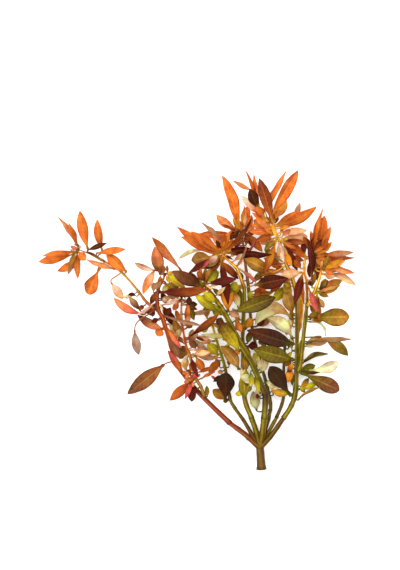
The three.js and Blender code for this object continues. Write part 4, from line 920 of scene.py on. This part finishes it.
class Recipe:
    """A material while its nodes are put together."""

    def __init__(self, name):
        self.material = bpy.data.materials.new(name)
        self.material.use_nodes = True
        self.tree = self.material.node_tree
        self.tree.nodes.clear()

    def node(self, kind, inputs, **settings):
        """A node with its settings and what goes into its sockets."""
        node = self.tree.nodes.new(kind)
        for setting, value in settings.items():
            setattr(node, setting, value)
        for socket, value in inputs.items():
            if isinstance(value, bpy.types.NodeSocket):
                self.tree.links.new(value, node.inputs[socket])
            else:
                node.inputs[socket].default_value = value
        return node

    def reckon(self, operation, *values):
        """The result of a sum between numbers or sockets."""
        return self.node("ShaderNodeMath", dict(enumerate(values)), operation=operation).outputs[0]

    def times(self, first, second):
        """The product of two numbers or sockets."""
        return self.reckon("MULTIPLY", first, second)

    def fade(self, value, start, end, low=0.0, high=1.0):
        """A smooth rise from low to high while the value goes from start to end."""
        inputs = {"Value": value, "From Min": start, "From Max": end, "To Min": low, "To Max": high}
        return self.node("ShaderNodeMapRange", inputs, interpolation_type="SMOOTHSTEP").outputs[0]

    def blotches(self, size, detail, seed):
        """Noise with spots of about the given size in metres, moved by its seed."""
        place = self.node("ShaderNodeTexCoord", {}).outputs["Object"]
        moved = self.node("ShaderNodeVectorMath", {0: place, 1: (seed, seed * 2, 0)}, operation="ADD").outputs[0]
        inputs = {"Vector": moved, "Scale": 1 / size, "Detail": detail, "Roughness": 0.55}
        return self.node("ShaderNodeTexNoise", inputs).outputs["Fac"]

    def mixed(self, blend, share, first, second):
        """Two colours mixed in a share of the second."""
        inputs = {0: share, 6: first, 7: second}
        return self.node("ShaderNodeMix", inputs, data_type="RGBA", blend_type=blend).outputs[2]

    def graded(self, share, colour, channels):
        """A colour whose red, green and blue are multiplied by the channels, by a share."""
        grade = self.node("ShaderNodeCombineColor", dict(enumerate(channels))).outputs[0]
        return self.mixed("MULTIPLY", share, colour, grade)

    def tint(self):
        """The colour and the fourth value that each point of a piece carries."""
        attribute = self.node("ShaderNodeAttribute", {}, attribute_name="tint")
        return attribute.outputs["Color"], attribute.outputs["Alpha"]

    def marks(self):
        """Where a point is across and along its leaf, or round and along its stem."""
        return self.node("ShaderNodeUVMap", {}, uv_map="marks").outputs[0]

    def bumpy(self, height, strength, distance):
        """The normal of a surface with relief."""
        return self.node("ShaderNodeBump", {"Height": height, "Strength": strength, "Distance": distance}).outputs[0]

    def surface(self, inputs):
        """A plain surface with the given inputs."""
        return self.node("ShaderNodeBsdfPrincipled", inputs).outputs[0]

    def finished(self, surface):
        """The material, with its surface."""
        self.node("ShaderNodeOutputMaterial", {0: surface})
        return self.material


def leaf_material():
    """Leaf tissue: mottled, with a pale midrib and side veins, redder at its edge, and lit through."""
    look = bpy.context.scene.plant_leaves
    leaf = Recipe("leaf_tissue")
    tint, alpha = leaf.tint()
    paleness = leaf.times(alpha, look.vein_paleness)
    marks = leaf.node("ShaderNodeSeparateXYZ", {0: leaf.marks()}).outputs
    across = leaf.times(leaf.reckon("ABSOLUTE", leaf.reckon("SUBTRACT", marks[0], 0.5)), 2.0)

    midrib = leaf.fade(across, *MIDRIB_EDGE, 1.0, 0.0)
    slant = leaf.times(leaf.reckon("POWER", across, VEIN_CURVE), VEIN_SLANT)
    wander = leaf.times(leaf.blotches(VEIN_WAVE, detail=1.0, seed=3.0), VEIN_WANDER)
    place = leaf.reckon("ADD", leaf.reckon("SUBTRACT", marks[1], slant), wander)
    near_vein = leaf.reckon("PINGPONG", leaf.times(place, look.vein_pairs), 0.5)
    veins = leaf.times(leaf.fade(near_vein, *VEIN_EDGE, 1.0, 0.0), leaf.fade(across, *VEIN_END, 1.0, 0.0))

    large = leaf.blotches(LEAF_SPOT, detail=3.0, seed=0.0)
    fine = leaf.blotches(LEAF_GRAIN, detail=2.0, seed=7.0)
    mottled = leaf.graded(1.0, tint, [leaf.fade(large, *NOISE_SPAN, *span) for span in LEAF_MOTTLING])
    grained = leaf.graded(GRAIN_SHARE, mottled, [fine] * 3)
    edged = leaf.mixed("MULTIPLY", leaf.times(leaf.fade(across, *EDGE_SPAN), RED_EDGE_SHARE), grained, RED_EDGE)
    paler = leaf.mixed("ADD", 1.0, tint, VEIN_LIGHT)
    veined = leaf.mixed("SCREEN", leaf.times(leaf.times(veins, SIDE_VEIN_SHARE), paleness), edged, paler)
    colour = leaf.mixed("SCREEN", leaf.times(midrib, paleness), veined, paler)

    relief = leaf.reckon("ADD", leaf.times(veins, VEIN_RELIEF), leaf.times(fine, GRAIN_RELIEF))
    normal = leaf.bumpy(relief, strength=0.5, distance=0.00025)
    gloss = leaf.fade(large, *NOISE_SPAN, *(look.roughness + spread for spread in GLOSS_SPREAD))
    inputs = {"Base Color": colour, "Roughness": gloss, "Normal": normal, "Specular IOR Level": SHINE}
    surface = leaf.surface(inputs)
    glow = leaf.mixed("SCREEN", GLOW_SHARE, colour, colour)
    through = leaf.node("ShaderNodeBsdfTranslucent", {"Color": glow, "Normal": normal}).outputs[0]
    both = leaf.node("ShaderNodeMixShader", {0: look.light_through, 1: surface, 2: through}).outputs[0]
    return leaf.finished(both)


def stem_material():
    """Stem skin: fine ridges along it, with its own pale stripes, a painted highlight on each ridge and painted shade
    in each groove, darker flecks and a slightly waxy shine.
    """
    look = bpy.context.scene.plant_stems
    stem = Recipe("stem_skin")
    tint, ridge = stem.tint()
    stretch = {0: stem.marks(), 1: STREAK_STRETCH}
    stretched = stem.node("ShaderNodeVectorMath", stretch, operation="MULTIPLY").outputs[0]
    streaks = stem.node("ShaderNodeTexNoise", STREAKS | {"Vector": stretched}).outputs["Fac"]
    flecks = stem.blotches(STEM_FLECK, detail=2.0, seed=5.0)
    patches = stem.blotches(STEM_PATCH, detail=2.0, seed=9.0)
    streaked = stem.graded(1.0, tint, [stem.fade(streaks, *NOISE_SPAN, *STREAK_SHADING)] * 3)
    # The ridge value gives the stem its own pale stripes and also paints a highlight on each ridge and shade in each
    # groove.
    striped_and_ridge_lit = stem.graded(1.0, streaked, [stem.fade(ridge, *RIDGE_SPAN, *span) for span in RIDGE_HIGHLIGHT_AND_GROOVE_SHADE])
    reddened = stem.mixed("MULTIPLY", stem.fade(patches, *PATCH_SPAN, 0.0, STAIN_SHARE), striped_and_ridge_lit, RED_PATCH)
    colour = stem.mixed("MULTIPLY", stem.fade(flecks, *FLECK_SPAN, 0.0, STAIN_SHARE), reddened, BROWN_FLECK)
    normal = stem.bumpy(stem.reckon("ADD", streaks, stem.times(flecks, FLECK_RELIEF)), strength=0.6, distance=0.0003)
    inputs = {"Base Color": colour, "Roughness": look.roughness, "Normal": normal, "Specular IOR Level": SHINE}
    return stem.finished(stem.surface(inputs))


def floor_material(colour, glow):
    """A matt white light table with a hardly visible grain."""
    table = Recipe("table_top")
    grain = table.blotches(TABLE_GRAIN, detail=3.0, seed=1.0)
    shade = table.fade(grain, *NOISE_SPAN, *TABLE_SHADING)
    base = table.graded(1.0, (*colour, 1), [shade] * 3)
    inputs = {"Base Color": base, "Roughness": 0.8, "Emission Color": (1, 1, 1, 1), "Emission Strength": glow}
    return table.finished(table.surface(inputs))


def finishes():
    """The two finishes of every piece, made once."""
    names = ("stem_skin", "leaf_tissue")
    if any(name not in bpy.data.materials for name in names):
        stem_material()
        leaf_material()
    return [bpy.data.materials[name] for name in names]


def settle_piece(skin, node):
    """Puts a finished piece in place of its node."""
    piece = skin.build(f"{node}_visual", finishes())
    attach(piece, "root")
    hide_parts(node)


def grow(node, axis, bud=False):
    """A stem or a crown's core, with the leaves that have grown as one with it."""
    skin = Skin()
    add_stem(skin, axis, BUD_RADIUS if bud else 1.0)
    for k, row in enumerate(axis.leaves):
        leaf = Leaf(*row)
        add_leaf(skin, axis, leaf, cad_height(node, leaf), f"{node} {k}")
    if bud:
        add_bud(skin, axis, node)
    settle_piece(skin, node)


class LeafSettings(bpy.types.PropertyGroup):
    """Shape and finish of all leaves."""

    steps: IntProperty(name="Steps", description="Rings along a grown leaf", default=22, min=8, max=60)
    flush: FloatProperty(
        name="Flush", description="Share of a blade over which its stem's colour fades out",
        default=0.22, subtype="FACTOR", min=0.01, max=1)
    # Painted shade that darkens one half of each blade, as if that half of its fold lay in shade.
    painted_half_shade: FloatProperty(
        name="Painted Half Shade", description="How much darker one half of a blade can be",
        default=0.45, subtype="FACTOR", min=0, max=1)
    fold: FloatProperty(
        name="Fold", description="How far a blade's edges rise, as a share of its half width",
        default=0.22, min=0, max=0.8)
    wave: FloatProperty(
        name="Wave", description="Height of the waves along a blade's edge, as a share of its half width",
        default=0.12, min=0, max=0.5)
    thickness: FloatProperty(
        name="Thickness", description="Thickness of a blade beside its midrib",
        default=0.28 * MM, unit="LENGTH", min=0.1 * MM)
    stalk: FloatProperty(
        name="Stalk", description="Width of a leaf's stalk", default=0.8 * MM, unit="LENGTH", min=0.2 * MM)
    midrib: FloatProperty(
        name="Midrib", description="Depth of the groove over the midrib", default=0.22 * MM, unit="LENGTH", min=0)
    vein_pairs: FloatProperty(
        name="Vein Pairs", description="Pairs of side veins along a blade", default=9, min=0, max=30)
    vein_paleness: FloatProperty(
        name="Vein Paleness", description="How much paler than the blade its veins are",
        default=0.5, subtype="FACTOR", min=0, max=1)
    light_through: FloatProperty(
        name="Light Through", description="Share of the light that passes through a blade",
        default=0.35, subtype="FACTOR", min=0, max=1)
    roughness: FloatProperty(
        name="Roughness", description="Roughness of a leaf's surface",
        default=0.46, subtype="FACTOR", min=0.06, max=0.9)


class StemSettings(bpy.types.PropertyGroup):
    """Shape and finish of all stems."""

    steps: IntProperty(
        name="Steps", description="Rings between two points of a stem's line", default=6, min=2, max=20)
    ridges: FloatProperty(
        name="Ridges", description="How far a stem's ridges stand out, as a share of its radius",
        default=0.14, min=0, max=0.4)
    spacing: FloatProperty(
        name="Knot Spacing", description="Distance from one knot of a stem to the next",
        default=9 * MM, unit="LENGTH", min=3 * MM)
    swelling: FloatProperty(
        name="Knot Swelling", description="How much thicker a stem is at a knot",
        default=0.22, subtype="FACTOR", min=0, max=0.6)
    roughness: FloatProperty(
        name="Roughness", description="Roughness of a stem's skin", default=0.36, subtype="FACTOR", min=0, max=1)


class StageSettings(bpy.types.PropertyGroup):
    """The table, the light and the camera."""

    floor_colour: FloatVectorProperty(
        name="Floor Colour", description="Colour of the table",
        default=(0.9, 0.9, 0.89), subtype="COLOR", size=3, min=0, max=1)
    floor_glow: FloatProperty(
        name="Floor Glow", description="Light that comes up through the table", default=0.25, min=0)
    softbox: FloatProperty(
        name="Softbox", description="Power of the large light overhead", default=13, unit="POWER", min=0)
    fill: FloatProperty(
        name="Fill", description="Power of each light at the sides", default=5, unit="POWER", min=0)
    surroundings: FloatProperty(
        name="Surroundings", description="Brightness of the white room", default=1.0, min=0)
    lens: FloatProperty(name="Lens", description="Focal length in millimetres", default=200, min=20)


class PLANT_OT_basal_stem(bpy.types.Operator):
    """Grows the thick bottom of the plant, its cut end and the starts of its shoots"""

    bl_idname = "plant.basal_stem"
    bl_label = "Basal Stem"

    def execute(self, context):
        skin = Skin()
        add_cut_end(skin, BASAL_STEM)
        for part in (BASAL_STEM, *BASAL_SHOOTS):
            add_stem(skin, part)
        settle_piece(skin, "basal_stem")
        return {"FINISHED"}


class PLANT_OT_stems(bpy.types.Operator):
    """Grows the long stems and branches with their small leaves"""

    bl_idname = "plant.stems"
    bl_label = "Stems"

    def execute(self, context):
        for node, axis in STEMS.items():
            grow(node, axis)
        return {"FINISHED"}


class PLANT_OT_crowns(bpy.types.Operator):
    """Grows the crowns of young leaves at the ends of the shoots"""

    bl_idname = "plant.crowns"
    bl_label = "Crowns"

    def execute(self, context):
        for node, axis in CROWNS.items():
            grow(node, axis, bud=True)
        return {"FINISHED"}


class PLANT_OT_grown_leaves(bpy.types.Operator):
    """Grows the large single leaves, each on its own stalk"""

    bl_idname = "plant.grown_leaves"
    bl_label = "Grown Leaves"

    def execute(self, context):
        axes = {**STEMS, **CROWNS}
        for node, (host, row) in GROWN_LEAVES.items():
            skin = Skin()
            leaf = Leaf(*row)
            add_leaf(skin, axes[host], leaf, cad_height(node, leaf), node)
            settle_piece(skin, node)
        return {"FINISHED"}


def add_to_scene(name, data):
    """An object in the scene with the given data."""
    thing = bpy.data.objects.new(name, data)
    bpy.context.scene.collection.objects.link(thing)
    return thing


def add_light(name, place, aim, width, power):
    """A large square light that points from its place to its aim."""
    light = bpy.data.lights.new(name, "AREA")
    light.shape = "SQUARE"
    light.size = width
    light.energy = power
    lamp = add_to_scene(name, light)
    lamp.location = place
    lamp.rotation_euler = (Vector(aim) - Vector(place)).to_track_quat("-Z", "Y").to_euler()


class PLANT_OT_stage(bpy.types.Operator):
    """Lays the table and sets the lights and the camera"""

    bl_idname = "plant.stage"
    bl_label = "Stage"

    def execute(self, context):
        stage = context.scene.plant_stage
        mesh = bpy.data.meshes.new("table")
        half = TABLE_WIDTH / 2
        mesh.from_pydata([(-half, -half, 0), (half, -half, 0), (half, half, 0), (-half, half, 0)], [], [(0, 1, 2, 3)])
        mesh.materials.append(floor_material(stage.floor_colour, stage.floor_glow))
        table = add_to_scene("table", mesh)

        for name, (place, aim, width, power) in LIGHTS.items():
            add_light(name, place, aim, width, getattr(stage, power))
        world = bpy.data.worlds.new("white_room")
        world.use_nodes = True
        background = world.node_tree.nodes["Background"]
        background.inputs[0].default_value = (1, 1, 1, 1)
        background.inputs[1].default_value = stage.surroundings
        context.scene.world = world
        context.scene.view_settings.view_transform = "Standard"

        camera = bpy.data.cameras.new("camera")
        camera.lens = stage.lens
        distance = PHOTO_HEIGHT * MM * stage.lens / camera.sensor_width
        eye = add_to_scene("camera", camera)
        eye.location = Vector((*PHOTO_MIDDLE, PLANT_MIDDLE_HEIGHT)) * MM + DRAWING_SHIFT + UP * distance
        context.scene.camera = eye
        return {"FINISHED"}


class PLANT_PT_clump(bpy.types.Panel):
    """Lists the plant's settings and the steps that build it"""

    bl_label = "Ludwigia Clump"
    bl_idname = "PLANT_PT_clump"
    bl_space_type = "VIEW_3D"
    bl_region_type = "UI"
    bl_category = "Plant"

    def draw(self, context):
        scene = context.scene
        for title, group in (
            ("Leaves", scene.plant_leaves), ("Stems", scene.plant_stems), ("Stage", scene.plant_stage),
        ):
            box = self.layout.box()
            box.label(text=title)
            for key in group.__annotations__:
                box.prop(group, key)
        for step in BUILD_STEPS:
            self.layout.operator(step.bl_idname)


SETTINGS = {"plant_leaves": LeafSettings, "plant_stems": StemSettings, "plant_stage": StageSettings}
BUILD_STEPS = (PLANT_OT_basal_stem, PLANT_OT_stems, PLANT_OT_crowns, PLANT_OT_grown_leaves, PLANT_OT_stage)


def register():
    for each in (*SETTINGS.values(), *BUILD_STEPS, PLANT_PT_clump):
        bpy.utils.register_class(each)
    for name, group in SETTINGS.items():
        setattr(bpy.types.Scene, name, PointerProperty(type=group))


def unregister():
    for name in SETTINGS:
        delattr(bpy.types.Scene, name)
    for each in reversed((*SETTINGS.values(), *BUILD_STEPS, PLANT_PT_clump)):
        bpy.utils.unregister_class(each)


def main():
    """Builds the clump and its stage."""
    register()
    bpy.ops.plant.basal_stem()
    bpy.ops.plant.stems()
    bpy.ops.plant.crowns()
    bpy.ops.plant.grown_leaves()
    bpy.ops.plant.stage()


if __name__ == "__main__":
    main()
